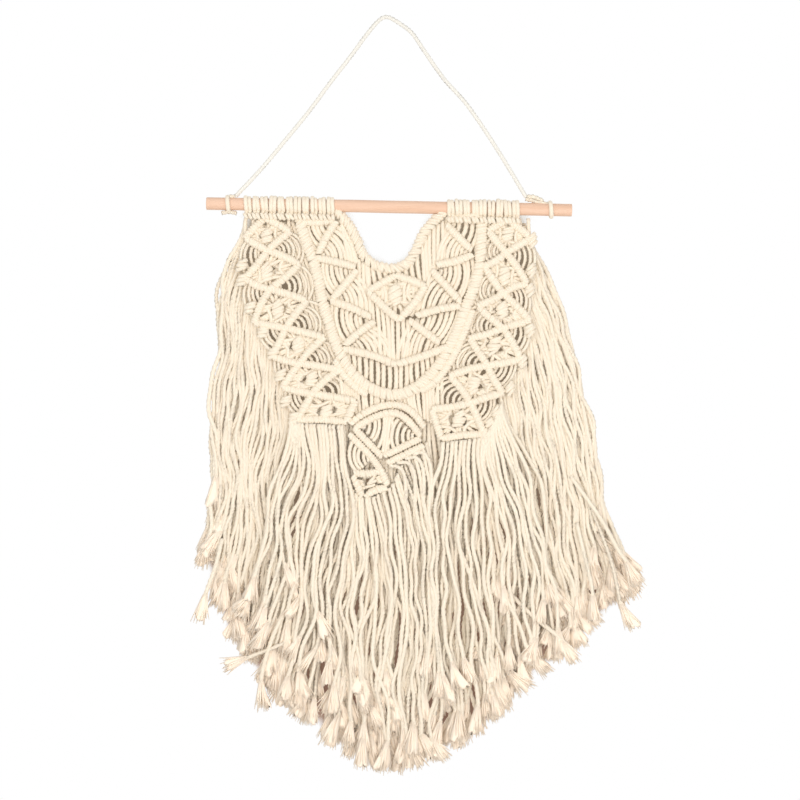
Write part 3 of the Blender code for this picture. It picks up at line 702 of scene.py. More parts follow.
class Skein:
    """Cords, hitches and tufts, gathered as arrays and joined into one mesh."""

    def __init__(self, name: str, seed: int) -> None:
        """An empty skein.

        Args:
            name: the piece's name.
            seed: for its small irregularities.
        """
        self.name = name
        self.dice = np.random.default_rng(seed)
        self.points: list[np.ndarray] = []
        self.tones: list[np.ndarray] = []
        self.faces: list[np.ndarray] = []
        self.uvs: list[np.ndarray] = []
        self.slots: list[np.ndarray] = []
        self.count = 0

    def lay_grid(self, grid: np.ndarray, along: np.ndarray, tone: np.ndarray, looped: bool,
                 slot: int = 0) -> None:
        """Adds closed tubes.

        Args:
            grid: points by tube, ring and place round the ring.
            along: length along each tube in centimetres, by tube and ring.
            tone: how light each tube's cotton is, by tube and ring.
            looped: whether the last ring joins the first; otherwise both ends are capped.
            slot: which of the piece's materials it shows.
        """
        tubes, rings, sides, _ = grid.shape
        index = np.arange(tubes * rings * sides).reshape(tubes, rings, sides) + self.count
        after = np.roll(index, -1, 1) if looped else index[:, 1:]
        before = index if looped else index[:, :-1]
        quads = np.stack([before, np.roll(before, -1, 2), np.roll(after, -1, 2), after], -1).reshape(-1, 4)
        v0 = along if looped else along[:, :-1]
        beyond = along[:, -1:] * 2 - along[:, -2:-1]
        v1 = np.concatenate([along[:, 1:], beyond], 1) if looped else along[:, 1:]
        u0 = np.arange(sides) / sides
        shape = before.shape
        u = [np.broadcast_to(x, shape) for x in (u0, u0 + 1 / sides, u0 + 1 / sides, u0)]
        v = [np.broadcast_to(x[:, :, None], shape) for x in (v0, v0, v1, v1)]
        self.faces.append(quads)
        self.uvs.append(np.stack([np.stack(u, -1), np.stack(v, -1)], -1).reshape(-1, 2))
        self.slots.append(np.full(len(quads), slot))
        if not looped:
            for cap, v_end in ((index[:, 0, ::-1], along[:, 0]), (index[:, -1], along[:, -1])):
                self.faces.append(cap)
                ends = np.stack([np.broadcast_to(x, cap.shape) for x in (u0, v_end[:, None])], -1)
                self.uvs.append(ends.reshape(-1, 2))
                self.slots.append(np.full(len(cap), slot))
        self.points.append(grid.reshape(-1, 3))
        self.tones.append(np.broadcast_to(tone[:, :, None], (tubes, rings, sides)).ravel())
        self.count += tubes * rings * sides

    def cord(self, path: np.ndarray, size: Cord, swell: np.ndarray | None = None) -> None:
        """A laid cord whose plies turn as it runs.

        Args:
            path: its centreline.
            size: its section and lay.
            swell: how much thicker than usual it is at each point.
        """
        along = lengths_along(path)
        _, across, out = sides_of(path)
        sides = size.plies * 2
        turn = TURN * along / size.lay + self.dice.uniform(0, TURN)
        angle = turn[:, None] + TURN * np.arange(sides) / sides
        reach = size.radius * np.where(np.arange(sides) % 2, 1 - size.groove, 1.0)[None, :]
        reach = reach * (np.ones(len(path)) if swell is None else swell)[:, None]
        grid = (path[:, None] + across[:, None] * (np.cos(angle) * reach)[..., None]
                + out[:, None] * (np.sin(angle) * reach)[..., None])
        tone = np.full((1, len(path)), self.dice.uniform(*TONES.cord))
        self.lay_grid(grid[None], along[None] / CM, tone, False)

    def laid(self, places: tuple, y: float, size: Cord) -> None:
        """A cord on a smooth curve at one depth.

        Args:
            places: rows of x, z that it passes through.
            y: its depth.
            size: the cord.
        """
        self.cord(smooth_path(spots(places, y), size.step), size)

    def hitches(self, path: np.ndarray, size: BarSize, squash: float = ROW_SQUASH) -> None:
        """A row of half hitches drawn tight over a cord.

        Args:
            path: the row's centreline.
            size: the turns.
            squash: depth of the row as a part of its height.
        """
        along = lengths_along(path)
        count = max(2, round(along[-1] / size.pitch))
        order = np.arange(count)
        where = (order + 0.5) * along[-1] / count
        paired = np.where(order % 2, -HAND.pairing, HAND.pairing)
        where += (paired + self.dice.normal(0, HAND.spacing, count)) * size.pitch
        centre, ahead, across = (values_at(where, along, values) for values in (path, *sides_of(path)[:2]))
        swell = np.minimum(1, HAND.end_turn + HAND.turn_growth * np.minimum(order, order[::-1]))
        self.loops(centre, unit(ahead), unit(across), size, squash, swell=swell)

    def curve(self, places: tuple, y: float, size: BarSize, squash: float = ROW_SQUASH) -> None:
        """A row of hitches on a smooth curve at one depth.

        Args:
            places: rows of x, z that it passes through.
            y: its depth.
            size: the turns.
            squash: depth of the row as a part of its height.
        """
        self.hitches(smooth_path(spots(places, y), BAR_STEP), size, squash)

    def run(self, row: tuple, size: Cord) -> None:
        """Strands side by side.

        Args:
            row: x, z of the first one's top and foot, and of the last one's, and their number.
            size: the cord.
        """
        for strand in np.linspace(row[:4], row[4:8], row[8]):
            self.strand(strand, self.dice.uniform(*HAND.run_depth), self.dice.normal(0, HAND.run_bow), size)

    def bar(self, start: tuple, end: tuple, y: float, size: BarSize, squash: float = ROW_SQUASH) -> None:
        """A row of hitches between two places, bent a little as a hand leaves it.

        Args:
            start: x, z of one end.
            end: x, z of the other end.
            y: its depth.
            size: the turns.
            squash: depth of the row as a part of its height.
        """
        corners = spots((start, end), y)
        middle = corners.mean(axis=0) + self.dice.normal(0, HAND.bar_bend, 3) * HAND.bend_axes
        self.hitches(smooth_path(np.array([corners[0], middle, corners[1]]), BAR_STEP), size, squash)

    def loops(self, centre: np.ndarray, ahead: np.ndarray, across: np.ndarray, size: BarSize, squash: float,
              rings: int = 11, sides: int = 5, swell: np.ndarray | None = None) -> None:
        """Closed turns of cord round an axis.

        Args:
            centre: one point for each turn.
            ahead: the axis of each turn.
            across: a direction square to the axis, in the plane of the cloth.
            size: radius of the turns, radius of the cord and lean.
            squash: depth of a turn as a part of its height.
            rings: points round a turn.
            sides: points round its cord.
            swell: how much wider than usual each turn is.
        """
        count = len(centre)
        loose = self.dice.normal(1, HAND.turn_size, (count, 1)) * (1 if swell is None else swell[:, None])
        lean = size.lean * self.dice.normal(1, HAND.lean, (count, 1))
        lean = lean + self.dice.normal(0, HAND.own_lean, (count, 1))
        theta = TURN * np.arange(rings) / rings
        outward = (across[:, None] * np.cos(theta)[None, :, None]
                   + FORWARD[None, None] * (np.sin(theta) * squash)[None, :, None])
        line = (centre[:, None] + outward * (size.loop * loose)[..., None]
                + ahead[:, None] * (lean * size.loop * np.cos(theta)[None, :])[..., None])
        psi = TURN * np.arange(sides) / sides
        thick = size.cord * self.dice.normal(1, HAND.turn_cord, (count, 1, 1, 1))
        section = (unit(outward)[:, :, None] * size.flat * np.cos(psi)[None, None, :, None]
                   - ahead[:, None, None] * np.sin(psi)[None, None, :, None])
        grid = line[:, :, None] + thick * section
        run = TURN * size.loop / rings * np.arange(rings) / CM
        along = run[None] + self.dice.uniform(0, UV_SHIFT, (count, 1))
        tone = np.broadcast_to(self.dice.uniform(*TONES.hitch, (count, 1)), (count, rings))
        self.lay_grid(grid, along, tone, True)

    def round_rod(self, places: np.ndarray, size: BarSize, squash: float, rings: int,
                  sides: int = 7) -> None:
        """Turns of cord round the rod.

        Args:
            places: x of each turn.
            size: the turns.
            squash: depth of a turn as a part of its height.
            rings: points round a turn.
            sides: points round its cord.
        """
        centre = np.array([[x, 0, dowel_z(x)] for x in places])
        ahead = unit(np.tile([1.0, 0, ROD_SLOPE], (len(places), 1)))
        self.loops(centre, ahead, np.cross(FORWARD, ahead), size, squash, rings, sides)

    def notch(self, row: tuple, y: float = 0.0, drawn: float = 0.04, size: Cord = WOVEN_CORD) -> None:
        """Strands that bridge the notch between two bars, as rings of a fan.

        Args:
            row: x, z of the apex and of the far end of each bar, the number of strands, and how far out
                along the bars the last one lies.
            y: their depth.
            drawn: how far a ring's middle is drawn towards the apex, as a part of its radius.
            size: the cord.
        """
        apex, end_a, end_b = (np.array(row[k:k + 2], float) for k in (0, 2, 4))
        a, b = end_a - apex, end_b - apex
        start = math.atan2(a[1], a[0])
        sweep = (math.atan2(b[1], b[0]) - start + math.pi) % TURN - math.pi
        reach_a, reach_b = np.hypot(*a), np.hypot(*b)
        t = np.linspace(0, 1, FAN.corners)
        arch = np.sin(math.pi * t)
        for k, share in enumerate(np.linspace(FAN.first, row[7], int(row[6]))):
            further, skewed, pulled = self.dice.normal(0, (HAND.ring_reach, HAND.ring_skew, HAND.ring_pull))
            reach = (reach_a + (reach_b - reach_a) * t) * (share + further + skewed * t)
            reach = reach * (1 - (drawn + pulled) * arch)
            angle = start + sweep * t
            depth = y + (FAN.back if k % 2 else FAN.front) - FAN.bulge * arch
            line = np.column_stack([apex[0] + reach * np.cos(angle), depth, apex[1] + reach * np.sin(angle)])
            self.cord(smooth_path(line, size.step), size)

    def strand(self, row: tuple, y: float = 0.0, bow: float = 0.0, size: Cord = WOVEN_CORD) -> None:
        """One strand between two places.

        Args:
            row: x, z of the top and of the foot.
            y: its depth.
            bow: how far its middle lies to the side.
            size: the cord.
        """
        top, foot = (np.array([row[k], y, row[k + 1]], float) for k in (0, 2))
        middle = (top + foot) / 2 + np.array([bow, HAND.strand_bulge, 0])
        self.cord(smooth_path(np.array([top, middle, foot]), size.step), size)

    def fill(self, corners: tuple, knot: tuple, size: BarSize, behind: int = 3) -> None:
        """The cords of one diamond, which run from its four bars into the fat knot in its middle.

        Args:
            corners: its top, one side, the other side and its foot, each x, z.
            knot: its middle.
            size: the turns of the knot.
            behind: how many cords cross behind them each way.
        """
        top, outer, inner, foot = (np.array(place, float) for place in corners)
        middle = np.array(knot, float)
        for start, end in ((top, outer), (top, inner), (outer, foot), (inner, foot)):
            shares = np.linspace(FIELD.first, FIELD.last, FIELD.strands)
            for share in shares + self.dice.normal(0, FIELD.unevenness, FIELD.strands):
                place = start + (end - start) * share
                gather = middle + (place - middle) * FIELD.gathered
                depth, bow = self.dice.uniform(*FIELD.depth), self.dice.normal(0, FIELD.bow)
                self.strand((*place, *gather), depth, bow)
        for share in np.linspace(*FIELD.crossing, behind):
            for near, far, y in zip((foot, top), (top, foot), FIELD.crossing_depths):
                ends = np.concatenate([outer + (near - outer) * share, far + (inner - far) * share])
                self.strand(ends, y, self.dice.normal(0, FIELD.crossing_bow))
        ends, flanks = (top, foot), (outer, inner)
        for place, sides in ((top, flanks), (foot, flanks), (outer, ends), (inner, ends)):
            share = FIELD.corner_share + self.dice.normal(0, FIELD.corner_unevenness)
            first, last = (place + (side - place) * share for side in sides)
            bend = (first + last) / 2 * (1 - FIELD.corner_draw) + middle * FIELD.corner_draw
            self.laid((first, bend, last), FIELD.corner_depth, WOVEN_CORD)
        half = np.array([-self.dice.normal(0, FIELD.knot_lean), FIELD.knot_rise * (top[1] - foot[1])])
        self.bar(middle + half, middle - half, FIELD.knot_depth, size, FIELD.knot_squash)

    def tuft(self, root: np.ndarray, ahead: np.ndarray, length: float, spread: float) -> None:
        """A cord's end, untwisted and brushed out.

        Args:
            root: where the plies come apart.
            ahead: which way the end points.
            length: of the loose fibres.
            spread: the brush's half width at its end.
        """
        ahead = unit(ahead)
        across = unit(np.cross(FORWARD, ahead))
        out = np.cross(ahead, across)
        self.brush_core(root, (ahead, across, out), length, spread)
        self.brush_locks(root, (ahead, across, out), length, spread)

    def brush_core(self, root: np.ndarray, axes: tuple, length: float, spread: float) -> None:
        """The grooved body of a tuft, cut off a little unevenly.

        Args:
            root: where it starts.
            axes: ahead, across and out.
            length: of the fibres.
            spread: half width at the end.
        """
        ahead, across, out = axes
        order = np.arange(TUFT.sides)
        t = np.array(TUFT.body_at)
        reach = TUFT.body_start + (spread * TUFT.body_reach - TUFT.body_start) * np.array(TUFT.body_wide)
        theta = TURN * order / TUFT.sides + self.dice.uniform(0, 1)
        lump = np.where(order % 2, TUFT.groove, 1.0) * self.dice.uniform(*TUFT.lump, TUFT.sides)
        lump = 1 + (lump - 1) * np.minimum(1, t[:, None] * TUFT.groove_growth)
        end = length * (TUFT.cut + self.dice.uniform(*TUFT.cut_uneven, TUFT.sides)[None, :])
        bend = self.dice.normal(0, TUFT.bend, 2) * length
        axis = root[None] + (t ** 2)[:, None] * (across * bend[0] + out * bend[1] * TUFT.bend_depth)[None]
        grid = (axis[:, None] + ahead * (t[:, None] * end)[..., None]
                + across * (np.cos(theta) * reach[:, None] * lump)[..., None]
                + out * (np.sin(theta) * reach[:, None] * lump * TUFT.depth)[..., None])
        tone = np.full((1, len(t)), self.dice.uniform(*TONES.body))
        self.lay_grid(grid[None], (t * length / CM)[None] * TUFT.fibre_stretch, tone, False, slot=1)

    def brush_locks(self, root: np.ndarray, axes: tuple, length: float, spread: float) -> None:
        """Thin three-sided locks of fibre round the body of a tuft.

        Args:
            root: where they start.
            axes: ahead, across and out.
            length: of the fibres.
            spread: half width at the end.
        """
        ahead, across, out = axes
        count, sides = TUFT.locks, 3
        t, thick = np.array(TUFT.lock_at), np.array(TUFT.lock_thick)
        theta = self.dice.uniform(0, TURN, count)
        far = spread * self.dice.uniform(*TUFT.lock_reach, count)
        reach = TUFT.lock_start + (far - TUFT.lock_start)[:, None] * (t ** TUFT.lock_opening)[None]
        run = length * self.dice.uniform(*TUFT.lock_run, count)[:, None] * t[None]
        curl = self.dice.normal(0, TUFT.curl, (count, 2))
        sideways = np.cos(theta)[:, None] * reach + curl[:, :1] * t[None] ** 2
        depth = (np.sin(theta)[:, None] * reach * TUFT.depth * TUFT.lock_depth
                 + curl[:, 1:] * TUFT.bend_depth * t[None] ** 2)
        line = (root + run[..., None] * ahead + sideways[..., None] * across + depth[..., None] * out)
        phi = TURN * np.arange(sides) / sides
        grid = (line[:, :, None] + across * (np.cos(phi)[None] * thick[:, None])[None, ..., None]
                + out * (np.sin(phi)[None] * thick[:, None])[None, ..., None])
        tone = np.broadcast_to(self.dice.uniform(*TONES.lock, (count, 1)), (count, len(t)))
        along = run / CM + self.dice.uniform(0, TUFT.lock_shift, (count, 1))
        self.lay_grid(grid, along, tone, False, slot=1)

    def to_piece(self, finishes: Finishes, node: str, pale: bool = False) -> bpy.types.Object:
        """Joins everything into one piece that rides on the root and stands for a CAD node.

        Args:
            finishes: the object's materials.
            node: the CAD node that it replaces.
            pale: whether its cord is the bleached one.
        Returns:
            The piece.
        """
        mesh = bpy.data.meshes.new(self.name)
        points = np.vstack(self.points) * MM
        corners = np.concatenate([face.ravel() for face in self.faces])
        totals = np.concatenate([np.full(len(face), face.shape[1]) for face in self.faces])
        mesh.vertices.add(len(points))
        mesh.vertices.foreach_set("co", points.astype(np.float32).ravel())
        mesh.loops.add(len(corners))
        mesh.loops.foreach_set("vertex_index", corners.astype(np.int32))
        mesh.polygons.add(len(totals))
        starts = np.concatenate([[0], np.cumsum(totals)[:-1]])
        mesh.polygons.foreach_set("loop_start", starts.astype(np.int32))
        mesh.polygons.foreach_set("material_index", np.concatenate(self.slots).astype(np.int32))
        uv = mesh.uv_layers.new(name="lay")
        uv.data.foreach_set("uv", np.vstack(self.uvs).astype(np.float32).ravel())
        tone = mesh.attributes.new("tone", "FLOAT", "POINT")
        tone.data.foreach_set("value", np.concatenate(self.tones).astype(np.float32))
        mesh.update(calc_edges=True)
        mesh.shade_smooth()
        mesh.materials.append(finishes.bleached if pale else finishes.cord)
        mesh.materials.append(finishes.brushed)
        piece = bpy.data.objects.new(self.name, mesh)
        bpy.context.scene.collection.objects.link(piece)
        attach(piece, "root")
        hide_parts(node)
        log.info("%s: %d triangles", self.name, sum(len(f) * (f.shape[1] - 2) for f in self.faces))
        return piece


# ---------------------------------------------------------------- sub-assemblies

@dataclass
class Rod:
    """The pine rod that everything hangs on; its wander is how far, over what length and where it bends."""

    length: float = 350.0
    radius: float = 6.0
    segments: int = 56
    middle_x: float = 2.0
    edge: float = 0.5
    edge_steps: int = 3
    end_facing: float = 0.9                           # faces that look further along the rod are its ends
    rim: float = 1.2
    cuts: int = 24
    wander: tuple = ((0.10, 23.0, 0.0), (0.07, 9.0, 2.0))

    def build(self, finishes: Finishes) -> bpy.types.Object:
        """Turns the rod, eases its edges and lays it in place.

        Args:
            finishes: the object's materials.
        Returns:
            The piece.
        """
        bm = bmesh.new()
        bmesh.ops.create_cone(bm, cap_ends=True, cap_tris=False, segments=self.segments, radius1=self.radius,
                              radius2=self.radius, depth=self.length)
        rims = [edge for edge in bm.edges if abs(edge.verts[0].co.z - edge.verts[1].co.z) < 1e-6]
        bmesh.ops.bevel(bm, geom=rims, offset=self.edge, segments=self.edge_steps, affect="EDGES",
                        profile=0.5, material=-1)
        ends = [face for face in bm.faces if len(face.verts) > 4]
        bmesh.ops.inset_individual(bm, faces=ends, thickness=self.rim, depth=0)
        long_edges = [edge for edge in bm.edges if edge.calc_length() > self.length / 2]
        bmesh.ops.subdivide_edges(bm, edges=long_edges, cuts=self.cuts, use_grid_fill=True)
        for vert in bm.verts:
            vert.co.x += sum(far * math.sin(vert.co.z / length + start) for far, length, start in self.wander)
        for face in bm.faces:
            face.material_index = int(abs(face.normal.z) > self.end_facing)
            face.smooth = abs(face.normal.z) < self.end_facing
        turn = Matrix.Rotation(math.pi / 2 - math.atan(ROD_SLOPE), 4, "Y")
        place = Matrix.Translation((self.middle_x, 0, dowel_z(self.middle_x)))
        bmesh.ops.transform(bm, matrix=Matrix.Scale(MM, 4) @ place @ turn, verts=bm.verts)
        mesh = bpy.data.meshes.new("rod")
        bm.to_mesh(mesh)
        bm.free()
        mesh.materials.append(finishes.side)
        mesh.materials.append(finishes.end)
        piece = bpy.data.objects.new("rod", mesh)
        bpy.context.scene.collection.objects.link(piece)
        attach(piece, "root")
        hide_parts("dowel")
        log.info("rod: %d faces", len(mesh.polygons))
        return piece


@dataclass
class Hanger:
    """The cord over the nail, and the turns that tie it to the rod."""

    tie: BarSize = BarSize(loop=7.6, cord=2.1, pitch=4.0, lean=0.16, flat=0.8)
    thick: Cord = Cord(radius=2.3, groove=0.2, lay=12, step=1.4)
    depth: float = -1.0
    squash: float = 1.0
    rings: int = 22
    ties: tuple = (
        ("left_tie", "tie_left", -152.2, (LEFT_TAIL, LEFT_TOP)),
        ("right_tie", "tie_right", 156.8, (RIGHT_TOP, RIGHT_ARCH)),
    )

    def build(self, finishes: Finishes) -> None:
        """Lays the cord and both ties.

        Args:
            finishes: the object's materials.
        """
        path = smooth_path(spots(CORD_ROUTE), HANGER_CORD.step)
        cord = Skein("hanging_rope", 3)
        cord.cord(path, HANGER_CORD)
        piece = cord.to_piece(finishes, "hanging_cord", pale=True)
        for name, node, x, runs in self.ties:
            knot = Skein(name, 5)
            knot.round_rod(np.array([x]), self.tie, self.squash, self.rings)
            for run in runs:
                knot.laid(run, self.depth, self.thick)
            knot.to_piece(finishes, node)


@dataclass
class Heading:
    """Cords looped over the rod side by side, and the row of hitches that holds them together."""

    name: str
    node: str
    left: float
    right: float
    turns: int
    seed: int
    loop: BarSize = BarSize(loop=7.4, cord=2.0, pitch=4.0, lean=0.05, flat=0.62)
    squash: float = 0.97
    rings: int = 20
    unevenness: float = 0.25
    ends: tuple[float, float] = (-4.5, -13.5)         # top and foot of the strands, from the rod's axis
    sway: float = 0.5
    depths: tuple[float, float] = (-2.4, 3.6)
    row: tuple[float, float] = (-4.6, -11.5)          # y and z of the row, z from the rod's axis

    def build(self, finishes: Finishes) -> None:
        """Loops the cords and ties the row under them.

        Args:
            finishes: the object's materials.
        """
        skein = Skein(self.name, self.seed)
        order = np.arange(self.turns)
        place = (order + 0.5) / self.turns
        paired = np.where(order % 2, -self.unevenness, self.unevenness)
        x = self.left + (self.right - self.left) * place + paired
        x = x + skein.dice.normal(0, self.unevenness, self.turns)
        skein.round_rod(x, self.loop, self.squash, self.rings)
        for v in x:
            axis = dowel_z(v)
            strand = (v, axis + self.ends[0], v + skein.dice.normal(0, self.sway), axis + self.ends[1])
            for y in self.depths:
                skein.strand(strand, y)
        y, z = self.row
        ends = spots(((self.left, dowel_z(self.left) + z), (self.right, dowel_z(self.right) + z)), y)
        skein.hitches(resampled(ends, 2 * BAR_STEP), HEADER_ROW)
        skein.to_piece(finishes, self.node)


@dataclass
class Collar:
    """The double ribbed band that frames the yoke."""

    depth: float = -1.6
    squash: float = 0.6

    def build(self, finishes: Finishes) -> None:
        """Ties a row of wide hitches along the curve, and a narrow one beside its lower part.

        Args:
            finishes: the object's materials.
        """
        skein = Skein("collar_band", 7)
        skein.curve(COLLAR, self.depth, COLLAR_BAR, self.squash)
        for run in COLLAR_SIDES:
            skein.curve(run, self.depth, SINGLE_BAR)
        skein.to_piece(finishes, "u_band")


@dataclass
class Wing:
    """A chain of knotted diamonds with fans in its notches.

    A fan is its number of rings, how far along the bars the last one lies, and how far in they are drawn.
    """

    name: str
    node: str
    diamonds: tuple
    foot: tuple
    picots: tuple
    heading: tuple[float, float]
    behind: int
    seed: int
    fan_depth: float = 0.6
    outer_fan: tuple[int, float, float] = (6, 0.88, 0.0)
    inner_fan: tuple[int, float, float] = (7, 0.99, -0.15)
    top_fan: tuple[int, float] = (3, 0.9)
    beside: tuple = (7, 10.8, 14.6, 18.4)             # of the cords beside the collar, from its middle
    beside_depth: float = 2.6
    beside_foot: float = -345.0
    picot_half: tuple[float, float] = (2.5, 5.0)
    picot_depth: tuple[float, float] = (-1.6, 0.4)

    def build(self, finishes: Finishes) -> None:
        """Ties the bars, then weaves the fans and fills the diamonds.

        Args:
            finishes: the object's materials.
        """
        skein = Skein(self.name, self.seed)
        tops = [row[0:2] for row in self.diamonds] + [self.foot]
        for row, below in zip(self.diamonds, tops[1:]):
            top, outer, inner, knot = (row[k:k + 2] for k in (0, 2, 4, 6))
            for k, (start, end) in enumerate(((top, outer), (top, inner), (outer, below), (inner, below))):
                skein.bar(start, end, bar_depth(k), SINGLE_BAR)
            skein.fill((top, outer, inner, below), knot, FAT_KNOT, self.behind)
        for upper, apex, lower in zip(self.diamonds, tops[1:], self.diamonds[1:]):
            for at, (rings, reach, drawn) in ((2, self.outer_fan), (4, self.inner_fan)):
                row = (*apex, *upper[at:at + 2], *lower[at:at + 2], rings, reach)
                skein.notch(row, self.fan_depth, drawn, FAN_CORD)
        for place in self.picots:
            self.picot(skein, place)
        self.cords_beside(skein)
        first = self.diamonds[0]
        for x, at in zip(self.heading, (2, 4)):
            skein.notch((*first[0:2], x, first[1] + 1, *first[at:at + 2], *self.top_fan), self.fan_depth)
        skein.to_piece(finishes, self.node)

    def picot(self, skein: Skein, place: tuple) -> None:
        """A small knot at the wing's edge, where fringe cords leave it.

        Args:
            skein: what it joins.
            place: x, z of its middle.
        """
        x, z = place
        across, up = self.picot_half
        lean = across if x < 0 else -across
        depth, unevenness = self.picot_depth
        path = spots(((x + lean, z + up), (x, z - up)), depth + skein.dice.normal(0, unevenness))
        skein.hitches(resampled(path, BAR_STEP), PICOT_BAR)

    def cords_beside(self, skein: Skein) -> None:
        """Cords that run down beside the collar, on the wing's side of it.

        Args:
            skein: what they join.
        """
        half = tuple(place for place in COLLAR if place[0] * self.foot[0] > 0 and place[1] > self.beside_foot)
        path = smooth_path(spots(half, self.beside_depth), WOVEN_CORD.step)
        outward = sides_of(path)[1]
        outward = outward * np.sign(outward[0, 0] * self.foot[0])
        for offset in self.beside:
            skein.cord(path + outward * offset, WOVEN_CORD)


@dataclass
class Yoke:
    """Everything inside the collar: neckline, zigzag bars, fans, straight strands and the upper diamond."""

    neck_depth: float = -0.8
    fan_depth: float = 0.6
    strand_depths: tuple[float, float] = (0.4, 1.2)
    strand_bow: float = 0.5

    def build(self, finishes: Finishes) -> None:
        """Ties the bars and weaves what lies between them.

        Args:
            finishes: the object's materials.
        """
        skein = Skein("yoke_weave", 17)
        skein.curve(NECKLINE, self.neck_depth, NECK_BAR)
        for k, row in enumerate(YOKE_BARS):
            skein.bar(row[:2], row[2:], bar_depth(k), SINGLE_BAR)
        for row in YOKE_NOTCHES:
            skein.notch(row, self.fan_depth, size=STOUT_CORD)
        for k, row in enumerate(YOKE_STRANDS):
            skein.strand(row, self.strand_depths[k % 2], skein.dice.normal(0, self.strand_bow), STOUT_CORD)
        for run in YOKE_RUNS:
            skein.run(run, STOUT_CORD)
        skein.fill(YOKE_DIAMOND, CENTRE_KNOT, LONG_KNOT)
        skein.to_piece(finishes, "yoke")


@dataclass
class Pendant:
    """The skewed leaf below the collar, and the small diamond that hangs from it."""

    depth: float = -1.6
    loose_depths: tuple[float, float] = (-2.4, 6.0)   # of the loose cords, and of their ends
    fan_depth: float = -0.4
    strand_depth: float = -0.6
    small_strands: tuple = (0.25, 0.5, 0.75)          # where they leave the small diamond's bars
    small_depth: float = 0.4
    small_gather: float = 0.55
    knot_half: tuple[float, float] = (1.0, 4.5)
    knot_depth: float = -1.0
    knot_squash: float = 0.6

    def build(self, finishes: Finishes) -> None:
        """Ties the double bars, the fans and the small diamond.

        Args:
            finishes: the object's materials.
        """
        skein = Skein("pendant_leaf", 23)
        for run in (PENDANT_OUTER_ARC, PENDANT_INNER_ARC, *PENDANT_SIDES):
            skein.curve(run, self.depth, DOUBLE_BAR)
        for start, end in SMALL_DIAMOND:
            skein.bar(start, end, self.depth, SINGLE_BAR)
        for run in PENDANT_LOOSE:
            line = spots(run, self.loose_depths[0])
            line[-1, 1] = self.loose_depths[1]
            skein.cord(smooth_path(line, FREE_CORD.step), FREE_CORD)
        for row in PENDANT_NOTCHES:
            skein.notch(row, self.fan_depth)
        for row in PENDANT_STRANDS:
            skein.strand(row, self.strand_depth)
        for row in LINKS:
            skein.run(row, WOVEN_CORD)
        knot = np.array(SMALL_KNOT)
        for start, end in SMALL_DIAMOND:
            for share in self.small_strands:
                place = np.array(start) + (np.array(end) - start) * share
                gathered = place * (1 - self.small_gather) + knot * self.small_gather
                skein.strand((*place, *gathered), self.small_depth)
        half = np.array(self.knot_half)
        skein.bar(knot + half, knot - half, self.knot_depth, SMALL_KNOT_BAR, self.knot_squash)
        skein.to_piece(finishes, "pendant")


# single cords that stray over the others: x, z from where each comes out
LEFT_STRAYS = (
    ((-84, -590), (-104, -602), (-126, -610), (-139, -616)),
    ((-158, -500), (-164, -526), (-172, -548), (-175, -557)),
    ((-92, -560), (-108, -590), (-118, -622), (-121, -640)),
)
RIGHT_STRAYS = (
    ((176, -440), (204, -480), (222, -512), (232, -524)),
    ((110, -545), (138, -572), (160, -590), (171, -600)),
    ((196, -470), (214, -520), (222, -556), (224, -566)),
    ((182, -485), (190, -520), (196, -546), (197, -558)),
)


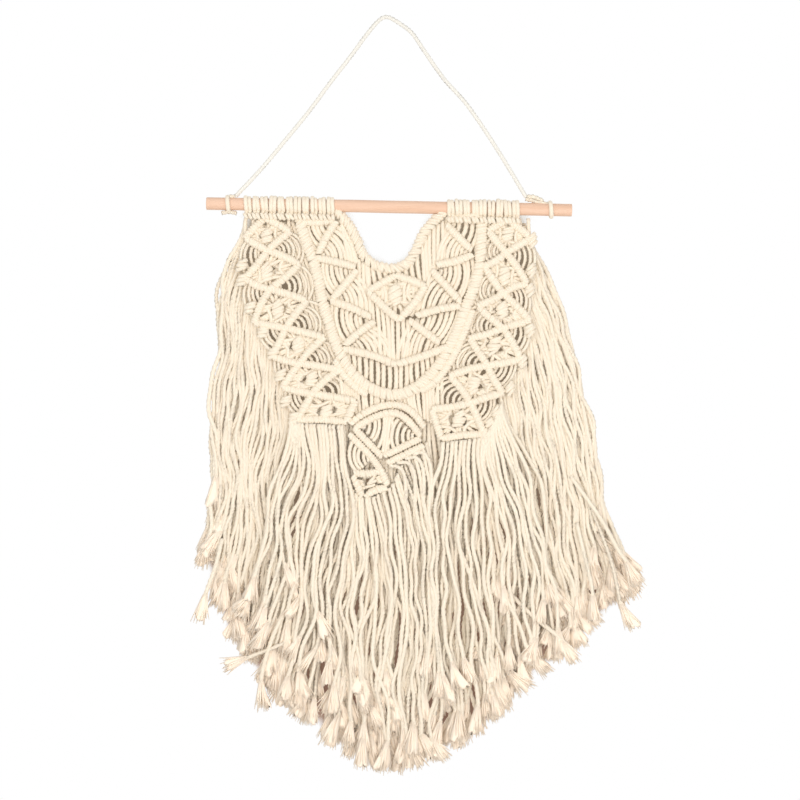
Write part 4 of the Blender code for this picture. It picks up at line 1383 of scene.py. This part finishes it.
@dataclass
class Fringe:
    """Free strands that leave one edge of the cloth, fall in rows and end in brushed tufts.

    Its strip is x, z of that edge, and its levels are z and x of the curtain's left and right edge there.
    """

    name: str
    node: str
    strip: tuple
    row: Row
    count: int
    levels: tuple
    seed: int
    flare: float = 0.0
    strays: tuple = ()
    flare_from: float = -470.0
    scatter: float = 95.0                             # how much higher than the outline ends may lie
    scatter_power: float = 2.2                        # most lie near the outline
    root_rise: float = 2.0                            # strands start above the cloth's edge
    row_shift: float = 0.4                            # between the rows, as a part of a strand's place
    unevenness: float = 0.2
    stray_depths: tuple[float, float] = (2.0, -3.4)   # of a stray's first point and of the rest
    stray_brush: tuple[float, float] = (26, 32)
    brush: tuple[float, float] = (25, 36)
    brush_half: tuple[float, float] = (5.6, 8.2)
    foot_level: float = -640.0                        # where strands hang side by side
    joined_by: float = 70.0                           # fall after which a strand hangs in its own place
    swaying_by: float = 60.0
    rippling_by: float = 50.0
    flare_over: float = 150.0
    flare_most: float = 1.3
    flare_power: float = 1.6
    flare_spread: float = 6.0
    wild: tuple[float, float] = (0.1, 20.0)           # how many strands stray from the rest, and how far
    tip_part: float = 0.9                             # how much of a tuft stays above the outline
    cut: float = 0.85                                 # and of a strand's that has strayed from its place
    thickness: tuple[float, float] = (0.94, 1.06)
    taper: tuple[float, float] = (5.0, 0.6)           # how long a cord's end thins, and to what part
    end_turn: tuple[float, float] = (2.6, 0.5)        # how far a tuft turns sideways, and in depth
    shortest: int = 8                                 # fewest points that a strand's path has
    tip_points: tuple[int, int] = (-5, -3)            # which of them aim the tuft, and where it is rooted
    ripples: tuple = ((1.3, 60, 130), (0.6, 30, 50))  # in depth: how far, and the least and most height
    # sideways: how far, the height of a wave, and how it shifts from strand to strand and row to row
    slow_wave: tuple = (3.0, 190, 0.05, 1.7)
    # the same, but the least and most for how far, and at the end how much each strand shifts on its own
    own_waves: tuple = ((1.6, 2.8, 118, 0.08, 0.9, 0.5), (0.8, 1.8, 71, -0.11, 2.3, 0.7))
    quick_wave: tuple = (0.5, 1.4, 34, 60)            # least and most for how far, and for the height
    bunches: tuple = (1.2, 34, 47, 2.1)               # how far, width, rise and shift from row to row

    def build(self, finishes: Finishes) -> None:
        """Lays every strand and brushes out its end.

        Args:
            finishes: the object's materials.
        """
        skein = Skein(self.name, self.seed)
        for row, y in enumerate(self.row.value):
            for k in range(self.count):
                shift = self.row_shift * (row - 0.5) + skein.dice.uniform(-self.unevenness, self.unevenness)
                share = (k + 0.5 + shift) / self.count
                self.strand(skein, min(max(share, 0.0), 1.0), row, y)
        for run in self.strays:
            line = spots(run, self.stray_depths[1])
            line[0, 1] = self.stray_depths[0]
            self.end_off(skein, smooth_path(line, FREE_CORD.step), skein.dice.uniform(*self.stray_brush))
        skein.to_piece(finishes, self.node)

    def edges_at(self, z: np.ndarray) -> tuple[np.ndarray, np.ndarray]:
        """The left and right edge of the curtain at heights z."""
        rows = np.array(self.levels, float)[::-1]
        return np.interp(z, rows[:, 0], rows[:, 1]), np.interp(z, rows[:, 0], rows[:, 2])

    def place_at(self, z: np.ndarray, share: float) -> np.ndarray:
        """x at heights z of a strand that hangs in its own place."""
        left, right = self.edges_at(z)
        return left + (right - left) * share

    def strand(self, skein: Skein, share: float, row: int, y: float) -> None:
        """One strand, from the edge of the cloth to its tuft.

        Args:
            skein: what it joins.
            share: how far along the strip it starts, from 0 to 1.
            row: its row, from the front.
            y: the row's depth.
        """
        dice = skein.dice
        corners = np.array(self.strip, float)
        along = np.linspace(0, 1, len(corners))
        root = np.array([np.interp(share, along, corners[:, k]) for k in (0, 1)])
        below = float(self.place_at(np.array([self.foot_level]), share)[0])
        brush = dice.uniform(*self.brush)
        tip = outline_at(below) + brush * self.tip_part + self.scatter * dice.random() ** self.scatter_power
        z = np.arange(root[1] + self.root_rise, tip, -FREE_CORD.step)
        fall = root[1] - z
        joined = 1 - (1 - np.clip(fall / self.joined_by, 0, 1)) ** 2
        hang = self.place_at(z, share)
        swaying = np.clip(fall / self.swaying_by, 0, 1)
        x = root[0] + (hang - root[0]) * joined + self.sway(dice, hang, z, row) * swaying
        low = np.clip((self.flare_from - z) / self.flare_over, 0, self.flare_most) ** self.flare_power
        chance, far = self.wild
        stray = dice.normal(0, far) if dice.random() < chance else 0.0
        x = np.clip(x + (dice.normal(self.flare, self.flare_spread) + stray) * low, *EDGES)
        depth = y + np.clip(fall / self.rippling_by, 0, 1) * self.ripple(dice, z)
        outside = np.nonzero(z - self.cut * brush < outline_at(x))[0]
        last = max(outside[0] if len(outside) else len(z), self.shortest)
        path = np.column_stack([x, depth, z])[:last]
        self.end_off(skein, resampled(path, FREE_CORD.step), brush)

    def end_off(self, skein: Skein, path: np.ndarray, brush: float) -> None:
        """Lays a strand's cord, thins its end and brushes it out.

        Args:
            skein: what it joins.
            path: the cord's centreline.
            brush: length of its tuft.
        """
        dice = skein.dice
        left_over = lengths_along(path)[-1] - lengths_along(path)
        long, thin = self.taper
        swell = np.where(left_over > long, 1.0, thin + (1 - thin) * left_over / long)
        skein.cord(path, FREE_CORD, swell * dice.uniform(*self.thickness))
        turned = np.array([*dice.normal(0, self.end_turn), 0])
        aim, root = self.tip_points
        ahead = unit(path[-1] - path[aim] + turned)
        ahead[0] = np.clip(ahead[0], *((np.array(TUFT_EDGES) - path[-1, 0]) / brush))
        skein.tuft(path[root], ahead, brush, dice.uniform(*self.brush_half))

    def ripple(self, dice: np.random.Generator, z: np.ndarray) -> np.ndarray:
        """How far a strand wanders towards the back and the front at heights z."""
        return sum(far * np.sin(TURN * z / dice.uniform(least, most) + dice.uniform(0, TURN))
                   for far, least, most in self.ripples)

    def sway(self, dice: np.random.Generator, hang: np.ndarray, z: np.ndarray, row: int) -> np.ndarray:
        """Sideways wander of a strand: slow with its neighbours, quick on its own, drawn into bunches.

        Args:
            dice: the skein's random numbers.
            hang: x that it would hang at.
            z: heights.
            row: its row.
        Returns:
            What is added to x.
        """
        far, height, across, between = self.slow_wave
        aside = far * np.sin(TURN * z / height + across * hang + between * row)
        for least, most, height, across, between, loose in self.own_waves:
            aside = aside + dice.uniform(least, most) * np.sin(
                TURN * z / height + across * hang + between * row + dice.normal(0, loose))
        least, most, low, high = self.quick_wave
        aside = aside + dice.uniform(least, most) * np.sin(
            TURN * z / dice.uniform(low, high) + dice.uniform(0, TURN))
        far, width, height, between = self.bunches
        return aside + far * np.sin(TURN * hang / width + z / height + between * row)


WINGS = (
    Wing("left_wing", "wing_left", LEFT_DIAMONDS, LEFT_FOOT, LEFT_PICOTS, (-137, -92), 2, 11),
    Wing("right_wing", "wing_right", RIGHT_DIAMONDS, RIGHT_FOOT, RIGHT_PICOTS, (137, 95), 1, 12),
)
HEADINGS = (
    Heading("left_heading", "heading_left", -137, -50, 22, 31),
    Heading("right_heading", "heading_right", 57, 127, 18, 32),
)
FRINGES = (
    Fringe("left_side_fringe", "fringe_side_left",
           ((-136, -194), (-139, -222), (-135, -252), (-125, -295), (-110, -326), (-98, -358), (-86, -388)),
           Row.BEHIND, 31,
           ((-200, -140, -90), (-231, -157, -88), (-300, -165, -88), (-400, -166, -90), (-500, -174, -92),
            (-720, -177, -92)), 41, -5, LEFT_STRAYS, scatter=75),
    Fringe("right_side_fringe", "fringe_side_right",
           ((97, -404), (111, -362), (128, -330), (136, -293), (135, -257), (139, -222), (131, -197)),
           Row.BEHIND, 36,
           ((-200, 90, 141), (-238, 90, 153), (-315, 94, 181), (-396, 102, 197), (-463, 116, 209),
            (-540, 112, 237), (-720, 104, 258)), 47, 4, RIGHT_STRAYS, scatter=60),
    Fringe("middle_fringe", "fringe_centre",
           ((-70, -366), (-35, -380), (5, -388), (45, -384), (78, -376)), Row.BEHIND, 41,
           ((-360, -72, 80), (-500, -80, 97), (-720, -92, 104)), 49, scatter=72),
    Fringe("left_low_fringe", "fringe_low_left", ((-92, -386), (-84, -391), (-62, -392), (-41, -393)),
           Row.BEFORE, 17,
           ((-390, -94, -38), (-470, -112, -34), (-540, -130, -38), (-640, -157, -52),
            (-720, -174, -62)), 44),
    Fringe("right_low_fringe", "fringe_low_right",
           ((52, -409), (74, -407), (94, -404), (104, -386), (110, -370)),
           Row.BEFORE, 20,
           ((-370, 50, 114), (-400, 48, 126), (-440, 44, 143), (-500, 42, 158), (-560, 46, 164),
            (-720, 54, 180)), 45),
    Fringe("pendant_fringe", "fringe_pendant",
           ((-36, -452), (-26, -462), (-14, -462), (4, -452), (13, -432), (40, -407)), Row.BELOW, 18,
           ((-400, -38, 43), (-470, -42, 51), (-720, -42, 52)), 46),
)


# ---------------------------------------------------------------- studio

@dataclass(frozen=True)
class Lamp:
    """A soft square lamp: where it stands and its side, in metres, its power in watts and its tint."""

    name: str
    place: tuple[float, float, float]
    side: float
    power: float
    tint: tuple[float, float, float]


LAMPS = (
    Lamp("key", (-0.95, -2.1, 0.3), 1.6, 16.0, (1.0, 0.99, 0.97)),
    Lamp("fill", (1.3, -2.0, -0.45), 1.8, 12.0, (0.99, 0.99, 1.0)),
    Lamp("low", (0.15, -1.3, -1.0), 0.7, 6.6, (1.0, 0.96, 0.93)),
    Lamp("back", (0.8, 1.9, 0.5), 1.6, 12.0, (1.0, 0.99, 0.97)),
)


@dataclass
class Studio:
    """Camera, soft lamps, the pale floor and the paper behind the cloth, which glows with painted shade;
    lengths are in metres.

    A painted shade is a run of how open the paper lies, from 0 to 1, and the colour painted there.
    """

    centre: tuple[float, float] = (0.0124, -0.367)
    distance: float = 1.81
    lens: float = 85.0
    sensor: float = 36.0
    round_steps: int = 96
    floor_place: tuple[float, float] = (-0.3, -0.90)
    floor_radius: float = 0.86
    floor_tint: tuple[float, float, float] = (0.85, 0.84, 0.82)
    paper_place: tuple[float, float] = (0.021, -0.42)
    paper_radius: float = 0.46
    fade: tuple[float, float] = (0.6, 0.98)           # where a sheet's edge fades, as parts of its radius
    world_tint: tuple[float, float, float] = (1.0, 0.99, 0.97)
    world_strength: float = 0.72
    # painted shade on the paper: how far it looks for cords, the heights where its lower colours turn into
    # its upper ones, and both runs of colours
    painted_shade_reach: float = 0.06
    painted_shade_levels: tuple[float, float] = (-0.62, -0.36)
    upper_painted_shade: tuple = (
        (0.08, (0.20, 0.15, 0.10)), (0.30, (0.35, 0.28, 0.195)),
        (0.37, (0.64, 0.57, 0.46)), (0.41, (1, 1, 1)),
    )
    lower_painted_shade: tuple = (
        (0.08, (0.20, 0.115, 0.08)), (0.30, (0.37, 0.235, 0.17)),
        (0.37, (0.68, 0.54, 0.45)), (0.41, (1, 1, 1)),
    )

    def camera(self) -> None:
        """Looks straight at the cloth, as the photograph does."""
        data = bpy.data.cameras.new("camera")
        data.lens, data.sensor_width = self.lens, self.sensor
        camera = bpy.data.objects.new("camera", data)
        camera.location = (self.centre[0], -self.distance, self.centre[1])
        camera.rotation_euler = (math.pi / 2, 0, 0)
        bpy.context.scene.collection.objects.link(camera)
        bpy.context.scene.camera = camera

    def light(self, lamp: Lamp) -> None:
        """Sets up a lamp that faces the middle of the cloth.

        Args:
            lamp: its sizes and tint.
        """
        data = bpy.data.lights.new(lamp.name, "AREA")
        data.shape, data.size, data.energy, data.color = "SQUARE", lamp.side, lamp.power, lamp.tint
        light = bpy.data.objects.new(lamp.name, data)
        light.location = lamp.place
        aim = Vector((self.centre[0], 0, self.centre[1])) - Vector(lamp.place)
        light.rotation_euler = aim.to_track_quat("-Z", "Y").to_euler()
        bpy.context.scene.collection.objects.link(light)

    def world(self) -> None:
        """White to the camera, and softer as light."""
        world = bpy.data.worlds.new("studio")
        bpy.context.scene.world = world
        world.use_nodes = True
        tree = world.node_tree
        seen = tree.nodes["Background"]
        feed(tree, seen, {"Color": (1.0, 1.0, 1.0, 1), "Strength": 1.0})
        soft = add(tree, "ShaderNodeBackground",
                   {"Color": (*self.world_tint, 1), "Strength": self.world_strength})
        path = add(tree, "ShaderNodeLightPath")
        either = add(tree, "ShaderNodeMixShader",
                     {0: path.outputs["Is Camera Ray"], 1: soft.outputs[0], 2: seen.outputs[0]})
        feed(tree, tree.nodes["World Output"], {"Surface": either.outputs[0]})

    def sheet(self, name: str, place: Matrix, radius: float) -> tuple[bpy.types.Object, bpy.types.NodeTree]:
        """A round sheet of matt paper whose edge fades out.

        Args:
            name: what it is called.
            place: turns it and sets it down.
            radius: where it ends.
        Returns:
            The sheet, which isn't part of the object, and its material's nodes.
        """
        bm = bmesh.new()
        bmesh.ops.create_circle(bm, cap_ends=True, segments=self.round_steps, radius=radius)
        bmesh.ops.transform(bm, matrix=place, verts=bm.verts)
        mesh = bpy.data.meshes.new(name)
        bm.to_mesh(mesh)
        bm.free()
        sheet = bpy.data.objects.new(name, mesh)
        bpy.context.scene.collection.objects.link(sheet)
        material = bpy.data.materials.new(name)
        material.use_nodes = True
        tree = material.node_tree
        where = add(tree, "ShaderNodeTexCoord").outputs["Object"]
        middle = add(tree, "ShaderNodeVectorMath", {0: where, 1: place.translation}, operation="DISTANCE")
        start, end = self.fade
        fade = add(tree, "ShaderNodeMapRange",
                   {"Value": middle.outputs["Value"], "From Min": radius * start, "From Max": radius * end,
                    "To Min": 1, "To Max": 0}, interpolation_type="SMOOTHSTEP")
        feed(tree, tree.nodes["Principled BSDF"],
             {"Roughness": 1.0, "Specular IOR Level": 0.0, "Alpha": fade.outputs["Result"]})
        mesh.materials.append(material)
        return sheet, tree

    def floor(self) -> None:
        """The pale sheet below the cloth."""
        y, z = self.floor_place
        _, tree = self.sheet("floor", Matrix.Translation((self.centre[0], y, z)), self.floor_radius)
        feed(tree, tree.nodes["Principled BSDF"], {"Base Color": (*self.floor_tint, 1)})

    def backdrop(self) -> None:
        """The sheet behind the cloth, which shows only from its front, glows with painted shade and casts no
        light or shade.
        """
        y, z = self.paper_place
        upright = Matrix.Translation((self.centre[0], y, z)) @ Matrix.Rotation(math.pi / 2, 4, "X")
        sheet, tree = self.sheet("backdrop", upright, self.paper_radius)
        shader = tree.nodes["Principled BSDF"]
        # the paper glows with its painted shade, though it is no lamp
        feed(tree, shader, {"Base Color": (0, 0, 0, 1), "Emission Color": self.shade(tree),
                            "Emission Strength": 1.0})
        clear = add(tree, "ShaderNodeBsdfTransparent")
        facing = add(tree, "ShaderNodeNewGeometry")
        either = add(tree, "ShaderNodeMixShader",
                     {0: facing.outputs["Backfacing"], 1: shader.outputs[0], 2: clear.outputs[0]})
        feed(tree, tree.nodes["Material Output"], {"Surface": either.outputs[0]})
        sheet.visible_diffuse = sheet.visible_glossy = sheet.visible_shadow = False
        sheet.visible_transmission = False

    def shade(self, tree: bpy.types.NodeTree) -> bpy.types.NodeSocket:
        """The paper's glow, which is painted shade: white where it lies open, and brown where cords stand
        close in front of it, redder towards the bottom.

        Args:
            tree: the paper's nodes.
        Returns:
            Its colour.
        """
        # painted shade: how closely cords stand in front of the paper sets its glowing colour
        near = add(tree, "ShaderNodeAmbientOcclusion", {"Distance": self.painted_shade_reach}, samples=32)
        ramps = []
        for tones in (self.lower_painted_shade, self.upper_painted_shade):
            ramp = add(tree, "ShaderNodeValToRGB", {"Fac": near.outputs["AO"]})
            for position, colour in tones:
                ramp.color_ramp.elements.new(position).color = (*colour, 1)
            ramp.color_ramp.elements.remove(ramp.color_ramp.elements[0])
            ramp.color_ramp.elements.remove(ramp.color_ramp.elements[-1])
            ramps.append(ramp.outputs["Color"])
        place = add(tree, "ShaderNodeTexCoord")
        height = add(tree, "ShaderNodeSeparateXYZ", {0: place.outputs["Object"]})
        low, high = self.painted_shade_levels
        rise = add(tree, "ShaderNodeMapRange",
                   {"Value": height.outputs["Z"], "From Min": low, "From Max": high})
        either = add(tree, "ShaderNodeMix", {"Factor": rise.outputs["Result"], "A": ramps[0], "B": ramps[1]},
                     data_type="RGBA")
        return either.outputs["Result"]

    def build(self) -> None:
        """Sets up everything that isn't part of the object."""
        self.camera()
        self.world()
        for lamp in LAMPS:
            self.light(lamp)
        self.backdrop()
        self.floor()
        bpy.context.scene.view_settings.view_transform = "Standard"


def main() -> None:
    """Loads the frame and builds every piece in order."""
    logging.basicConfig(level=logging.INFO, format="%(name)s: %(message)s")
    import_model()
    Studio().build()
    finishes = Finishes()
    Hanger().build(finishes)
    Rod().build(finishes)
    for heading in HEADINGS:
        heading.build(finishes)
    Collar().build(finishes)
    for wing in WINGS:
        wing.build(finishes)
    Yoke().build(finishes)
    Pendant().build(finishes)
    for fringe in FRINGES:
        fringe.build(finishes)
    bpy.context.view_layer.update()


if __name__ == "__main__":
    main()
